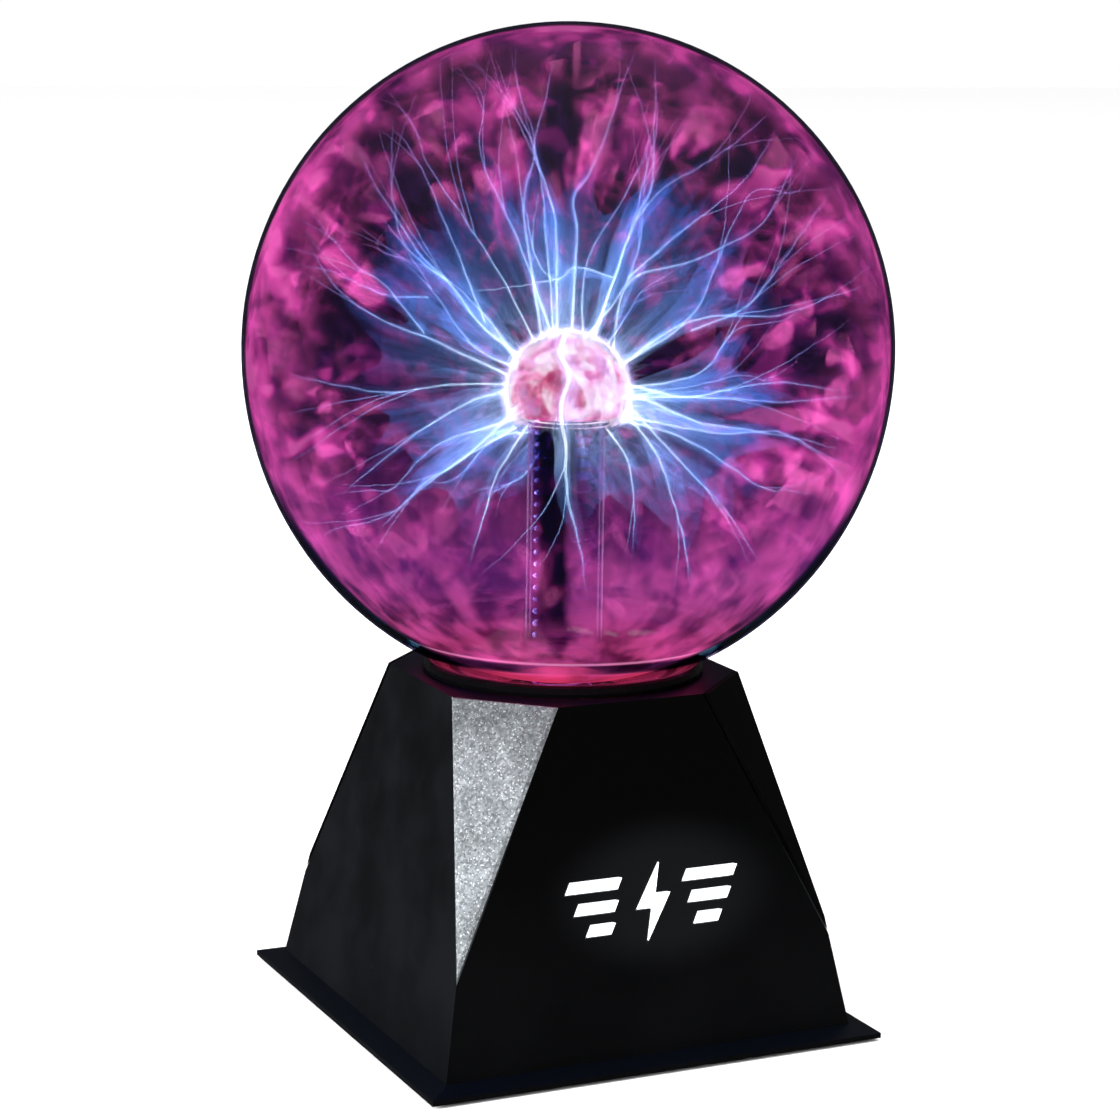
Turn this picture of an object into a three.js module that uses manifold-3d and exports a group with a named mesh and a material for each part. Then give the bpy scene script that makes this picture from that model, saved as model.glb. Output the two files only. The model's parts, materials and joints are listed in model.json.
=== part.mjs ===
// Plasma ball: a sealed glass globe on a square black base with cut corners.
// Millimetres, +Z up. The origin is at the bottom centre, on the plane that the rubber feet stand on.
// The front face, with the lit mark, looks along -Y; the switch, dial and power socket are on the rear.
import * as THREE from 'three';
import { ConvexGeometry } from 'three/addons/geometries/ConvexGeometry.js';
import { mergeVertices } from 'three/addons/utils/BufferGeometryUtils.js';
import Module from 'manifold-3d';

const wasm = await Module();
wasm.setup();

// ---- driving dimensions: base ----
const GAP = 0.3; // clearance between pieces that touch
const WALL = 2.5; // moulded wall of the base
const FLANGE_BOTTOM = 1;
const FLANGE_HALF = 75;
const FLANGE_EDGE = 1.6;
const FLANGE_RISE = 1.6; // slope of the flange's top, from its edge to the foot of the walls
const BODY_FOOT_Z = FLANGE_BOTTOM + FLANGE_EDGE + FLANGE_RISE;
const BODY_FOOT_HALF = 67.7;
const TOP_Z = 108.6;
const TOP_HALF = 48.4;
const CORNER_CUT = 22.5; // length that each cut corner takes off a top edge
const CORNER_APEX_Z = 38; // height at which a cut corner runs out on the corner edge
const PANEL_THICKNESS = 0.9;
const TOP_PLATE = 3;

// ---- driving dimensions: glass ----
const GLOBE_RADIUS = 100;
const GLOBE_DEPTH = 104.6; // from the globe's middle to its underside, were it not cut by the neck
const GLOBE_Z = TOP_Z + 99.4;
const GLASS_WALL = 1.8;
const NECK_RADIUS = 20;
const NECK_BOTTOM = 86;
const DOME_RADIUS = 19;
const DOME_Z = 195;
const DOME_UNDERSIDE = 186.2;
const STEM_RADIUS = 12;
const STEM_WALL = 1.2;
const STEM_BOTTOM = 88.4;
const STUD_BOTTOM = 80;
const LINING = 0.8;
const DOME_CORNER = 2; // rounding where the dome turns under
const SEAT_GAP = 0.5; // between the globe and the collar's dish

// ---- driving dimensions: spring in the stem ----
const SPRING_RADIUS = 9.4;
const SPRING_WIRE = 0.45;
const SPRING_PITCH = 3.7;
const SPRING_STEPS = 8; // sides of each turn
const SPRING_LOW = 91;
const SPRING_PRESS = 1.4; // how far below the lining the last turn's middle lies
const LINING_INNER = DOME_RADIUS - STEM_WALL - GAP - LINING;
const SPRING_HIGH = DOME_Z + Math.sqrt(LINING_INNER ** 2 - SPRING_RADIUS ** 2) - SPRING_PRESS;

// ---- driving dimensions: fittings ----
const PLATE_BOTTOM = 3;
const PLATE_THICKNESS = 2;
const PLATE_TOP = PLATE_BOTTOM + PLATE_THICKNESS;
const PLATE_CLEARANCE = 0.4;
const VENT_PLACE = 20; // middle of each row of vents, to the left and right
const FOOT_RADIUS = 8;
const FOOT_PLACE = 48;
const POST_PLACE = 56.5; // screw posts in the four corners
const POST_RADIUS = 4.5;
const POST_TOP = 26;
const SCREW_RADIUS = 1.2;
const SCREW_HOLE = SCREW_RADIUS + GAP;
const HEAD_RADIUS = 2.8;
const HEAD_HEIGHT = 1.4;
const PLATE_SCREW_LENGTH = 14;
const BOARD_SCREW_LENGTH = 6.5;
const BOARD_HEAD_RADIUS = 2.6;
const CLAMP_SCREW_LENGTH = 9;
const BOARD_SIZE = [100, 72, 1.6];
const BOARD_BOTTOM = 10;
const BOARD_TOP = BOARD_BOTTOM + BOARD_SIZE[2];
const BOARD_HOLES = [45, 31];
const BOARD_POST_RADIUS = 3.2;
const OPENING_RADIUS = 33; // hole in the base's top for the underside of the globe
const REAR_Z = 36; // height of the rear fittings
const JACK_X = 30;
const DIAL_X = -32;
const MIC_RISE = 16; // the microphone's place up the wall, above the switch
const MIC_HOLE = 1.2;
const MIC_RADIUS = 4.8;
const MIC_DEPTH = 6;
const BADGE_X = 3;
const BADGE_Z = 49;

const WALL_TILT = Math.atan2(BODY_FOOT_HALF - TOP_HALF, TOP_Z - BODY_FOOT_Z);

const PAINTS = {
  black_plastic: [0x0b0b0d, 0.42, 0],
  glitter: [0xb4b7bb, 0.35, 0.8],
  black_panel: [0x0a0a0c, 0.35, 0],
  rubber: [0x151515, 0.9, 0],
  glass: [0xd9e8f0, 0.05, 0],
  silicone: [0x2a2a2c, 0.7, 0],
  steel: [0xb8babd, 0.35, 1],
  brass: [0xc8a24a, 0.35, 1],
  aluminium: [0xa9acb0, 0.45, 1],
  lining: [0x9a9ca0, 0.6, 1],
  circuit: [0x1f5a34, 0.55, 0],
  ferrite: [0x2b2b30, 0.8, 0],
  winding: [0x8a4a24, 0.5, 0],
  component: [0x141416, 0.5, 0],
  capacitor: [0x1d2a4c, 0.4, 0],
  white_plastic: [0xf2f4f6, 0.4, 0],
  red_wire: [0xa01818, 0.5, 0],
  grey_wire: [0x6d7074, 0.5, 0],
  dial: [0x101012, 0.45, 0],
};

const materials = Object.fromEntries(
  Object.entries(PAINTS).map(([name, [color, roughness, metalness]]) => [
    name,
    new THREE.MeshStandardMaterial({ name, color, roughness, metalness }),
  ]),
);

const object = new THREE.Group();

function add(name, geometry, material, group = object) {
  const mesh = new THREE.Mesh(geometry, materials[material]);
  mesh.name = name;
  group.add(mesh);
  return mesh;
}

// ---- joining and cutting ----

function toSolid(geometry) {
  const bare = geometry.clone();
  bare.deleteAttribute('normal');
  bare.deleteAttribute('uv');
  const merged = mergeVertices(bare, 1e-4);
  return new wasm.Manifold(
    new wasm.Mesh({
      numProp: 3,
      vertProperties: new Float32Array(merged.attributes.position.array),
      triVerts: new Uint32Array(merged.index.array),
    }),
  );
}

function toGeometry(solid) {
  const mesh = solid.getMesh();
  const geometry = new THREE.BufferGeometry();
  geometry.setAttribute('position', new THREE.BufferAttribute(new Float32Array(mesh.vertProperties), 3));
  geometry.setIndex(new THREE.BufferAttribute(new Uint32Array(mesh.triVerts), 1));
  geometry.computeVertexNormals();
  return geometry;
}

function cut(solid, geometries) {
  return geometries.reduce((rest, geometry) => rest.subtract(toSolid(geometry)), solid);
}

function join(solid, geometries) {
  return geometries.reduce((whole, geometry) => whole.add(toSolid(geometry)), solid);
}

// ---- plain shapes ----

function box(sizeX, sizeY, sizeZ, x, y, z) {
  return new THREE.BoxGeometry(sizeX, sizeY, sizeZ).translate(x, y, z);
}

// A turned piece about +Z; profile is a list of [radius, height].
function turned(profile, segments) {
  const points = profile.map(([radius, height]) => new THREE.Vector2(radius, height));
  return new THREE.LatheGeometry(points, segments).rotateX(Math.PI / 2);
}

function rod(radius, low, high, segments = 16) {
  return turned([[0, low], [radius, low], [radius, high], [0, high]], segments);
}

function pipe(inner, outer, low, high, segments = 24) {
  return turned([[inner, low], [outer, low], [outer, high], [inner, high], [inner, low]], segments);
}

// A rod along Y, for what goes through the front and rear walls.
function rodAlongY(radius, low, high, x = 0, z = 0, segments = 16) {
  return rod(radius, low, high, segments).rotateX(-Math.PI / 2).translate(x, 0, z);
}

function turnedAlongY(profile, segments, x = 0, z = 0) {
  return turned(profile, segments).rotateX(-Math.PI / 2).translate(x, 0, z);
}

// A pan head screw with its tip along +Z and its head's seat at z = 0.
function screw(length, headRadius = HEAD_RADIUS, headHeight = HEAD_HEIGHT) {
  const profile = [
    [0, -headHeight],
    [0.7 * headRadius, -headHeight],
    [headRadius, -0.6 * headHeight],
    [headRadius, 0],
    [SCREW_RADIUS, 0],
    [SCREW_RADIUS, length - SCREW_RADIUS],
    [0, length],
  ];
  return turned(profile, 12);
}

// A hexagonal ring nut whose axis is Y.
function nut(boreRadius, acrossFlats, low, high, x) {
  const shape = new THREE.Shape();
  for (let i = 0; i < 6; i++) {
    const angle = (i * Math.PI) / 3;
    const reach = acrossFlats / 2 / Math.cos(Math.PI / 6);
    shape[i ? 'lineTo' : 'moveTo'](reach * Math.cos(angle), reach * Math.sin(angle));
  }
  shape.closePath();
  shape.holes.push(new THREE.Path().absarc(0, 0, boreRadius, 0, 2 * Math.PI, true));
  const options = { depth: high - low, bevelEnabled: false, curveSegments: 12 };
  return new THREE.ExtrudeGeometry(shape, options).rotateX(Math.PI / 2).translate(x, high, 0);
}

// Hook-up wire along a smooth curve through the points.
function wire(points, radius, steps = 14) {
  const section = new THREE.Shape().absarc(0, 0, radius, 0, 2 * Math.PI);
  const path = new THREE.CatmullRomCurve3(points.map((p) => new THREE.Vector3(...p)));
  const options = { steps, bevelEnabled: false, extrudePath: path, curveSegments: 4 };
  return new THREE.ExtrudeGeometry(section, options);
}

// ---- base: a square pyramid whose top corners are cut by slanted planes ----

function halfWidth(z) {
  const rise = (z - BODY_FOOT_Z) / (TOP_Z - BODY_FOOT_Z);
  return BODY_FOOT_HALF + (TOP_HALF - BODY_FOOT_HALF) * rise;
}

// On a cut corner |x| + |y| has this value at height z.
const CORNER_SLOPE =
  (2 * TOP_HALF - CORNER_CUT - 2 * halfWidth(CORNER_APEX_Z)) / (TOP_Z - CORNER_APEX_Z);

function cornerSum(z) {
  return 2 * halfWidth(CORNER_APEX_Z) + CORNER_SLOPE * (z - CORNER_APEX_Z);
}

// The body between two heights, with its walls and cut corners moved inwards.
function body(low, high, wallInset, cornerInset) {
  const half = (z) => halfWidth(z) - wallInset / Math.cos(WALL_TILT);
  const sum = (z) => cornerSum(z) - cornerInset * Math.hypot(1, 1, CORNER_SLOPE);
  const spare = (z) => sum(z) - 2 * half(z);
  const apex = low + ((high - low) * spare(low)) / (spare(low) - spare(high));
  const reach = sum(high) - half(high);
  const points = [];
  for (const sx of [-1, 1]) {
    for (const sy of [-1, 1]) {
      points.push(new THREE.Vector3(sx * half(low), sy * half(low), low));
      points.push(new THREE.Vector3(sx * half(apex), sy * half(apex), apex));
      points.push(new THREE.Vector3(sx * half(high), sy * reach, high));
      points.push(new THREE.Vector3(sx * reach, sy * half(high), high));
    }
  }
  return toSolid(new ConvexGeometry(points));
}

function flange() {
  const rings = [
    [FLANGE_HALF, FLANGE_BOTTOM],
    [FLANGE_HALF, FLANGE_BOTTOM + FLANGE_EDGE],
    [BODY_FOOT_HALF, BODY_FOOT_Z],
  ];
  const points = [];
  for (const [half, z] of rings) {
    for (const sx of [-1, 1]) {
      for (const sy of [-1, 1]) {
        points.push(new THREE.Vector3(sx * half, sy * half, z));
      }
    }
  }
  return toSolid(new ConvexGeometry(points));
}

// Frames on the slanted walls: x across, y out through the rear wall (or in through the front), z up it.
function wallFrame(x, z, side) {
  const frame = new THREE.Group();
  frame.position.set(x, side * halfWidth(z), z);
  frame.rotation.x = side * WALL_TILT;
  frame.updateMatrix();
  return frame;
}

const rear = wallFrame(0, REAR_Z, 1);
const front = wallFrame(BADGE_X, BADGE_Z, -1);
object.add(rear, front);

function placed(geometry, frame) {
  return geometry.applyMatrix4(frame.matrix);
}

// ---- lit mark: a spark with three bars fading away on each side ----

const BARS = [
  { reach: 11, length: 17, height: 3.2 },
  { reach: 12.5, length: 13, height: 3.2 },
  { reach: 14, length: 8, height: 3.2 },
];
const BAR_STEP = 6.6;
const SPARK = [[2.4, 11.5], [-5.6, -1.8], [-0.6, -1.8], [-2.6, -11.5], [5.6, 2.2], [0.6, 2.2]];

// Moves each side of an anticlockwise polygon outwards.
function grown(points, distance) {
  return points.map((point, i) => {
    const before = points[(i + points.length - 1) % points.length];
    const after = points[(i + 1) % points.length];
    const a = new THREE.Vector2(point[0] - before[0], point[1] - before[1]).normalize();
    const b = new THREE.Vector2(after[0] - point[0], after[1] - point[1]).normalize();
    const scale = distance / (1 + a.dot(b));
    return [point[0] + (a.y + b.y) * scale, point[1] - (a.x + b.x) * scale];
  });
}

function markOutlines() {
  const outlines = [SPARK];
  for (const side of [-1, 1]) {
    BARS.forEach(({ reach, length, height }, row) => {
      const z = (1 - row) * BAR_STEP;
      const near = side * reach;
      const far = side * (reach + length);
      const [left, right] = [Math.min(near, far), Math.max(near, far)];
      const lean = height / 2;
      outlines.push([
        [left - lean / 2, z - height / 2],
        [right - lean / 2, z - height / 2],
        [right + lean / 2, z + height / 2],
        [left + lean / 2, z + height / 2],
      ]);
    });
  }
  return outlines;
}

// Prisms of the mark in the front frame, from y = low (outside) to y = high (inside).
function markPrisms(extra, low, high) {
  return markOutlines().map((outline) => {
    const shape = new THREE.Shape(grown(outline, extra).map(([x, z]) => new THREE.Vector2(x, z)));
    const options = { depth: high - low, bevelEnabled: false };
    return new THREE.ExtrudeGeometry(shape, options).rotateX(Math.PI / 2).translate(0, high, 0);
  });
}

// ---- rear fittings, in the rear frame ----

const SLOT = [12.6, 5]; // the switch slot, across and up
const SWITCH_SCREW_X = 13;
const JACK_BODY = 4.2;
const JACK_DEPTH = 9;
const JACK_PIN_DEPTH = 11;
const DIAL_BUSH = 3.6;
const CUT_THROUGH = 6; // how far a cut reaches each way through a wall

function baseOpenings() {
  const through = CUT_THROUGH;
  const rearCuts = [
    box(SLOT[0], 2 * through, SLOT[1], 0, 0, 0),
    rodAlongY(JACK_BODY + GAP, -through, through, JACK_X, 0, 24),
    rodAlongY(DIAL_BUSH + GAP, -through, through, DIAL_X, 0, 24),
    rodAlongY(MIC_HOLE, -through, through, 0, MIC_RISE, 10),
    rodAlongY(SCREW_HOLE, -through, through, -SWITCH_SCREW_X, 0, 10),
    rodAlongY(SCREW_HOLE, -through, through, SWITCH_SCREW_X, 0, 10),
  ];
  return [
    ...rearCuts.map((geometry) => placed(geometry, rear)),
    ...markPrisms(GAP, -through, through).map((geometry) => placed(geometry, front)),
    rod(OPENING_RADIUS, TOP_Z - 2 * TOP_PLATE, TOP_Z + TOP_PLATE, 40),
  ];
}

const CLAMP_SCREW_X = 38.5;
const CLAMP_TOP = 101;
const CLAMP_BOTTOM = 96;
const CLAMP_POST_RADIUS = 3.6;
const CLAMP_GAP = 0.4;
const RIB = 2; // thickness of the ribs that tie the screw posts to the corners
const POST_HOLE_TOP = 20;

function baseShell() {
  const outer = body(FLANGE_BOTTOM, TOP_Z, 0, PANEL_THICKNESS + GAP).add(flange());
  const cornerWall = PANEL_THICKNESS + GAP + WALL;
  const hollow = body(FLANGE_BOTTOM - 1, TOP_Z - TOP_PLATE, WALL, cornerWall);
  const postLow = PLATE_TOP + GAP;
  const posts = [];
  for (const sx of [-1, 1]) {
    for (const sy of [-1, 1]) {
      const x = sx * POST_PLACE;
      const y = sy * POST_PLACE;
      posts.push(rod(POST_RADIUS, postLow, POST_TOP).translate(x, y, 0));
      const ribMiddle = (POST_TOP + postLow) / 2;
      const rib = box(2 * POST_RADIUS, RIB, POST_TOP - postLow, 1.5 * POST_RADIUS, 0, ribMiddle);
      posts.push(rib.rotateZ(Math.atan2(sy, sx)).translate(x, y, 0));
    }
  }
  for (const side of [-1, 1]) {
    const post = rod(CLAMP_POST_RADIUS, CLAMP_TOP + GAP, TOP_Z - TOP_PLATE / 2);
    posts.push(post.translate(side * CLAMP_SCREW_X, 0, 0));
  }
  let shell = outer.subtract(hollow);
  const inside = body(FLANGE_BOTTOM, TOP_Z, WALL / 2, cornerWall - WALL / 2);
  shell = shell.add(join(toSolid(posts[0]), posts.slice(1)).intersect(inside));
  const screwHoles = [];
  for (const sx of [-1, 1]) {
    for (const sy of [-1, 1]) {
      const hole = rod(SCREW_HOLE, 0, POST_HOLE_TOP, 10);
      screwHoles.push(hole.translate(sx * POST_PLACE, sy * POST_PLACE, 0));
    }
    screwHoles.push(rod(SCREW_HOLE, CLAMP_TOP - 1, TOP_Z - 2, 10).translate(sx * CLAMP_SCREW_X, 0, 0));
  }
  return cut(shell, [...baseOpenings(), ...screwHoles]);
}

function cornerPanels() {
  const whole = body(FLANGE_BOTTOM, TOP_Z, 0, 0);
  const panels = whole.subtract(body(FLANGE_BOTTOM - 1, TOP_Z + 1, -1, PANEL_THICKNESS));
  const quarter = FLANGE_HALF;
  const places = { front_left: [-1, -1], front_right: [1, -1], rear_left: [-1, 1], rear_right: [1, 1] };
  for (const [place, [sx, sy]] of Object.entries(places)) {
    const [x, y] = [(sx * quarter) / 2, (sy * quarter) / 2];
    const corner = toSolid(box(quarter, quarter, TOP_Z, x, y, TOP_Z / 2 + 1));
    const glitter = sx * sy > 0;
    add(`corner_panel_${place}`, toGeometry(panels.intersect(corner)), glitter ? 'glitter' : 'black_panel');
  }
}

// ---- bottom plate, feet and screws ----

function bottomPlate() {
  const half = halfWidth(PLATE_TOP) - WALL / Math.cos(WALL_TILT) - PLATE_CLEARANCE;
  const middle = PLATE_BOTTOM + PLATE_THICKNESS / 2;
  let plate = toSolid(box(2 * half, 2 * half, PLATE_THICKNESS, 0, 0, middle));
  const cuts = [];
  for (const sx of [-1, 1]) {
    for (const sy of [-1, 1]) {
      const [x, y] = [sx * BOARD_HOLES[0], sy * BOARD_HOLES[1]];
      const post = rod(BOARD_POST_RADIUS, PLATE_BOTTOM + GAP, BOARD_BOTTOM - GAP).translate(x, y, 0);
      plate = join(plate, [post]);
      cuts.push(rod(SCREW_HOLE, PLATE_TOP, BOARD_BOTTOM, 10).translate(x, y, 0));
      cuts.push(rod(SCREW_HOLE, 0, PLATE_TOP + 1, 10).translate(sx * POST_PLACE, sy * POST_PLACE, 0));
    }
  }
  const [slots, pitch, slotLength, slotWidth] = [5, 7, 24, 2.4];
  for (const side of [-1, 1]) {
    for (let i = 0; i < slots; i++) {
      const y = (i - (slots - 1) / 2) * pitch;
      cuts.push(box(slotLength, slotWidth, 3 * PLATE_THICKNESS, side * VENT_PLACE, y, middle));
    }
  }
  return cut(plate, cuts);
}

function feetAndScrews() {
  for (const [along, sy] of [['front', -1], ['rear', 1]]) {
    for (const [across, sx] of [['left', -1], ['right', 1]]) {
      const top = PLATE_BOTTOM - GAP;
      const bevel = 0.8;
      const profile = [[0, 0], [FOOT_RADIUS - bevel, 0], [FOOT_RADIUS, bevel], [FOOT_RADIUS, top], [0, top]];
      const foot = add(`foot_${along}_${across}`, turned(profile, 20), 'rubber');
      foot.position.set(sx * FOOT_PLACE, sy * FOOT_PLACE, 0);
      const plateScrew = add(`plate_screw_${along}_${across}`, screw(PLATE_SCREW_LENGTH), 'steel');
      plateScrew.position.set(sx * POST_PLACE, sy * POST_PLACE, PLATE_BOTTOM - GAP);
      const shortScrew = screw(BOARD_SCREW_LENGTH, BOARD_HEAD_RADIUS);
      const boardScrew = add(`board_screw_${along}_${across}`, shortScrew, 'steel');
      boardScrew.position.set(sx * BOARD_HOLES[0], sy * BOARD_HOLES[1], BOARD_TOP + GAP);
      boardScrew.rotation.x = Math.PI;
    }
  }
}

// ---- globe, its collar and what holds its neck ----

// Points of a circle about (0, centre) between two angles from straight up, as [radius, height].
function arc(radius, centre, from, to, steps) {
  const points = [];
  for (let i = 0; i <= steps; i++) {
    const angle = from + ((to - from) * i) / steps;
    points.push([radius * Math.sin(angle), centre + radius * Math.cos(angle)]);
  }
  return points;
}

// Outline of the globe moved outward by offset: a ball above its middle, stretched below it.
function globeArc(offset, from, to, steps) {
  const radius = GLOBE_RADIUS + offset;
  const stretch = (GLOBE_DEPTH + offset) / radius;
  return arc(radius, 0, from, to, steps).map(([r, z]) => [r, GLOBE_Z + z * (z < 0 ? stretch : 1)]);
}

// Height of the globe's underside, moved outward by offset, at a radius.
function undersideAt(radius, offset) {
  const share = radius / (GLOBE_RADIUS + offset);
  return GLOBE_Z - (GLOBE_DEPTH + offset) * Math.sqrt(1 - share * share);
}

function glassGlobe() {
  const inner = GLOBE_RADIUS - GLASS_WALL;
  const neckInner = NECK_RADIUS - GLASS_WALL;
  const outside = globeArc(0, Math.PI - Math.asin(NECK_RADIUS / GLOBE_RADIUS), 0, 26);
  const inside = globeArc(-GLASS_WALL, 0, Math.PI - Math.asin(neckInner / inner), 18);
  outside[outside.length - 1][0] = 0;
  inside[0][0] = 0;
  const profile = [...inside, [neckInner, NECK_BOTTOM], [NECK_RADIUS, NECK_BOTTOM], ...outside];
  return turned(profile, 40);
}

// Dome on a stem; its foot flares out to close the globe's neck.
function electrodeGlass() {
  const section = (radius, stem, underside, corner) => {
    const rim = Math.acos((underside + corner - DOME_Z) / radius);
    const rimRadius = radius * Math.sin(rim);
    return [
      [stem, underside],
      [rimRadius - corner, underside],
      [rimRadius - 0.3 * corner, underside + 0.3 * corner],
      ...arc(radius, DOME_Z, rim, 0, 9),
    ];
  };
  const footRadius = NECK_RADIUS - GLASS_WALL - GAP;
  const outer = section(DOME_RADIUS, STEM_RADIUS, DOME_UNDERSIDE, DOME_CORNER);
  const innerStem = STEM_RADIUS - STEM_WALL;
  const innerCorner = DOME_CORNER - 0.5;
  const inner = section(DOME_RADIUS - STEM_WALL, innerStem, DOME_UNDERSIDE + STEM_WALL, innerCorner);
  outer[outer.length - 1][0] = 0;
  inner[inner.length - 1][0] = 0;
  const profile = [
    ...inner.reverse(),
    [innerStem, STEM_BOTTOM + 3],
    [footRadius - 3, STEM_BOTTOM],
    [footRadius, STEM_BOTTOM],
    [footRadius, STEM_BOTTOM + 1.5],
    [STEM_RADIUS + 1, STEM_BOTTOM + 4.5],
    [STEM_RADIUS, STEM_BOTTOM + 7],
    ...outer,
  ];
  return turned(profile, 24);
}

// Thin metal bell inside the dome; the spring's top turn presses against it.
function electrodeLining() {
  const [outer, inner] = [LINING_INNER + LINING, LINING_INNER];
  const rim = (radius) => Math.acos((DOME_UNDERSIDE + STEM_WALL + 1 - DOME_Z) / radius);
  const outside = arc(outer, DOME_Z, rim(outer), 0, 7);
  const inside = arc(inner, DOME_Z, 0, rim(inner), 7);
  outside[outside.length - 1][0] = 0;
  inside[0][0] = 0;
  return turned([...inside, ...outside], 20);
}

class Helix extends THREE.Curve {
  getPoint(t, target = new THREE.Vector3()) {
    const z = SPRING_LOW + (SPRING_HIGH - SPRING_LOW) * t;
    const angle = (2 * Math.PI * (z - SPRING_LOW)) / SPRING_PITCH;
    return target.set(SPRING_RADIUS * Math.cos(angle), SPRING_RADIUS * Math.sin(angle), z);
  }
}

function contactSpring() {
  const turns = (SPRING_HIGH - SPRING_LOW) / SPRING_PITCH;
  const section = new THREE.Shape().absarc(0, 0, SPRING_WIRE, 0, 2 * Math.PI);
  const path = new Helix();
  const steps = Math.round(SPRING_STEPS * turns);
  path.arcLengthDivisions = steps;
  return new THREE.ExtrudeGeometry(section, {
    steps,
    bevelEnabled: false,
    extrudePath: path,
    curveSegments: 2,
  });
}

const COLLAR_OUTER = 44;
const GASKET_FOOT = 26; // radius of the gasket where it rests on the clamp
const GASKET_EDGE = 2.5; // thickness of its outer edge
const COLLAR_INNER = 36;
const COLLAR_HEIGHT = 3.4;

// Low ring on the base's top; its dished upper side follows the globe.
function globeCollar() {
  const low = TOP_Z + GAP;
  const high = low + COLLAR_HEIGHT;
  const drop = (GLOBE_Z - high) / (GLOBE_DEPTH + SEAT_GAP);
  const lip = (GLOBE_RADIUS + SEAT_GAP) * Math.sqrt(1 - drop * drop);
  const profile = [[COLLAR_INNER, low], [COLLAR_OUTER, low], [COLLAR_OUTER, low + 1.2]];
  profile.push([COLLAR_OUTER - 0.7, high - 0.6], [COLLAR_OUTER - 1.4, high]);
  const steps = 4;
  for (let i = 0; i <= steps; i++) {
    const radius = lip + ((COLLAR_INNER - lip) * i) / steps;
    profile.push([radius, undersideAt(radius, SEAT_GAP)]);
  }
  profile.push([COLLAR_INNER, low]);
  return turned(profile, 48);
}

function neckClamp() {
  const [earWidth, ringOuter] = [9, 25];
  const [earFrom, earTo] = [ringOuter - 2, CLAMP_SCREW_X + 5];
  const thickness = CLAMP_TOP - CLAMP_BOTTOM;
  const middle = (CLAMP_BOTTOM + CLAMP_TOP) / 2;
  const ring = toSolid(pipe(NECK_RADIUS + CLAMP_GAP, ringOuter, CLAMP_BOTTOM, CLAMP_TOP, 32));
  const ears = [];
  const bores = [];
  for (const side of [-1, 1]) {
    ears.push(box(earTo - earFrom, earWidth, thickness, (side * (earFrom + earTo)) / 2, 0, middle));
    const bore = rod(SCREW_HOLE, CLAMP_BOTTOM - thickness, CLAMP_TOP + thickness, 10);
    bores.push(bore.translate(side * CLAMP_SCREW_X, 0, 0));
  }
  return cut(join(ring, ears), bores);
}

// Soft ring between the clamp and the globe's underside, shaped to the glass.
function neckGasket() {
  const [inner, outer] = [NECK_RADIUS + GAP, OPENING_RADIUS - GAP];
  const low = CLAMP_TOP + GAP;
  const profile = [[inner, low], [GASKET_FOOT, low], [outer, undersideAt(outer, GAP) - GASKET_EDGE]];
  const steps = 4;
  for (let i = 0; i <= steps; i++) {
    const radius = outer + ((inner - outer) * i) / steps;
    profile.push([radius, undersideAt(radius, GAP)]);
  }
  profile.push([inner, low]);
  return turned(profile, 40);
}

function neckFittings() {
  add('neck_gasket', neckGasket(), 'silicone');
  add('neck_clamp', toGeometry(neckClamp()), 'black_plastic');
  for (const [place, side] of [['left', -1], ['right', 1]]) {
    const clampScrew = add(`clamp_screw_${place}`, screw(CLAMP_SCREW_LENGTH), 'steel');
    clampScrew.position.set(side * CLAMP_SCREW_X, 0, CLAMP_BOTTOM - GAP);
  }
  const capTop = NECK_BOTTOM - GAP;
  const studHole = 2.8;
  const plugRadius = 10;
  const plugTop = SPRING_LOW - 1.4;
  const cap = [
    [studHole, capTop - 3],
    [NECK_RADIUS, capTop - 3],
    [NECK_RADIUS, capTop],
    [plugRadius, capTop],
    [plugRadius - 1, plugTop],
    [studHole, plugTop],
    [studHole, capTop - 3],
  ];
  add('terminal_cap', turned(cap, 24), 'silicone');
  const studTop = SPRING_LOW + 3;
  const stud = [
    [0, STUD_BOTTOM],
    [2, STUD_BOTTOM],
    [2.5, STUD_BOTTOM + 0.6],
    [2.5, studTop - 1],
    [1.6, studTop],
    [0, studTop],
  ];
  add('terminal_stud', turned(stud, 12), 'brass');
}

// ---- electronics on the bottom plate ----

const CORE_X = -22;
const CORE_Y = 4;
const CORE_WIDTH = 36;
const CORE_HEIGHT = 48;
const CORE_LEG = 9;
const SINK_X = 24;
const SINK_Y = -12;

function transformerCore() {
  const frame = new THREE.Shape();
  const [w, h] = [CORE_WIDTH / 2, CORE_HEIGHT / 2];
  frame.moveTo(-w, -h).lineTo(w, -h).lineTo(w, h).lineTo(-w, h).closePath();
  const window = new THREE.Path();
  const [wi, hi] = [w - CORE_LEG, h - CORE_LEG];
  window.moveTo(-wi, -hi).lineTo(-wi, hi).lineTo(wi, hi).lineTo(wi, -hi).closePath();
  frame.holes.push(window);
  const thickness = 10;
  return new THREE.ExtrudeGeometry(frame, { depth: thickness, bevelEnabled: false })
    .rotateX(Math.PI / 2)
    .translate(CORE_X, CORE_Y + thickness / 2, BOARD_TOP + GAP + h);
}

function heatSink() {
  const [width, depth, height, fins, finWidth, plate] = [40, 15, 30, 6, 1.6, 3];
  const shape = new THREE.Shape().moveTo(-width / 2, -depth);
  const pitch = (width - finWidth) / (fins - 1);
  for (let i = 0; i < fins; i++) {
    const x = -width / 2 + i * pitch;
    if (i > 0) shape.lineTo(x, -plate).lineTo(x, -depth);
    shape.lineTo(x + finWidth, -depth);
    if (i < fins - 1) shape.lineTo(x + finWidth, -plate);
  }
  shape.lineTo(width / 2, 0).lineTo(-width / 2, 0).closePath();
  const sink = new THREE.ExtrudeGeometry(shape, { depth: height, bevelEnabled: false });
  return sink.translate(SINK_X, SINK_Y, BOARD_TOP + GAP);
}

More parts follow.
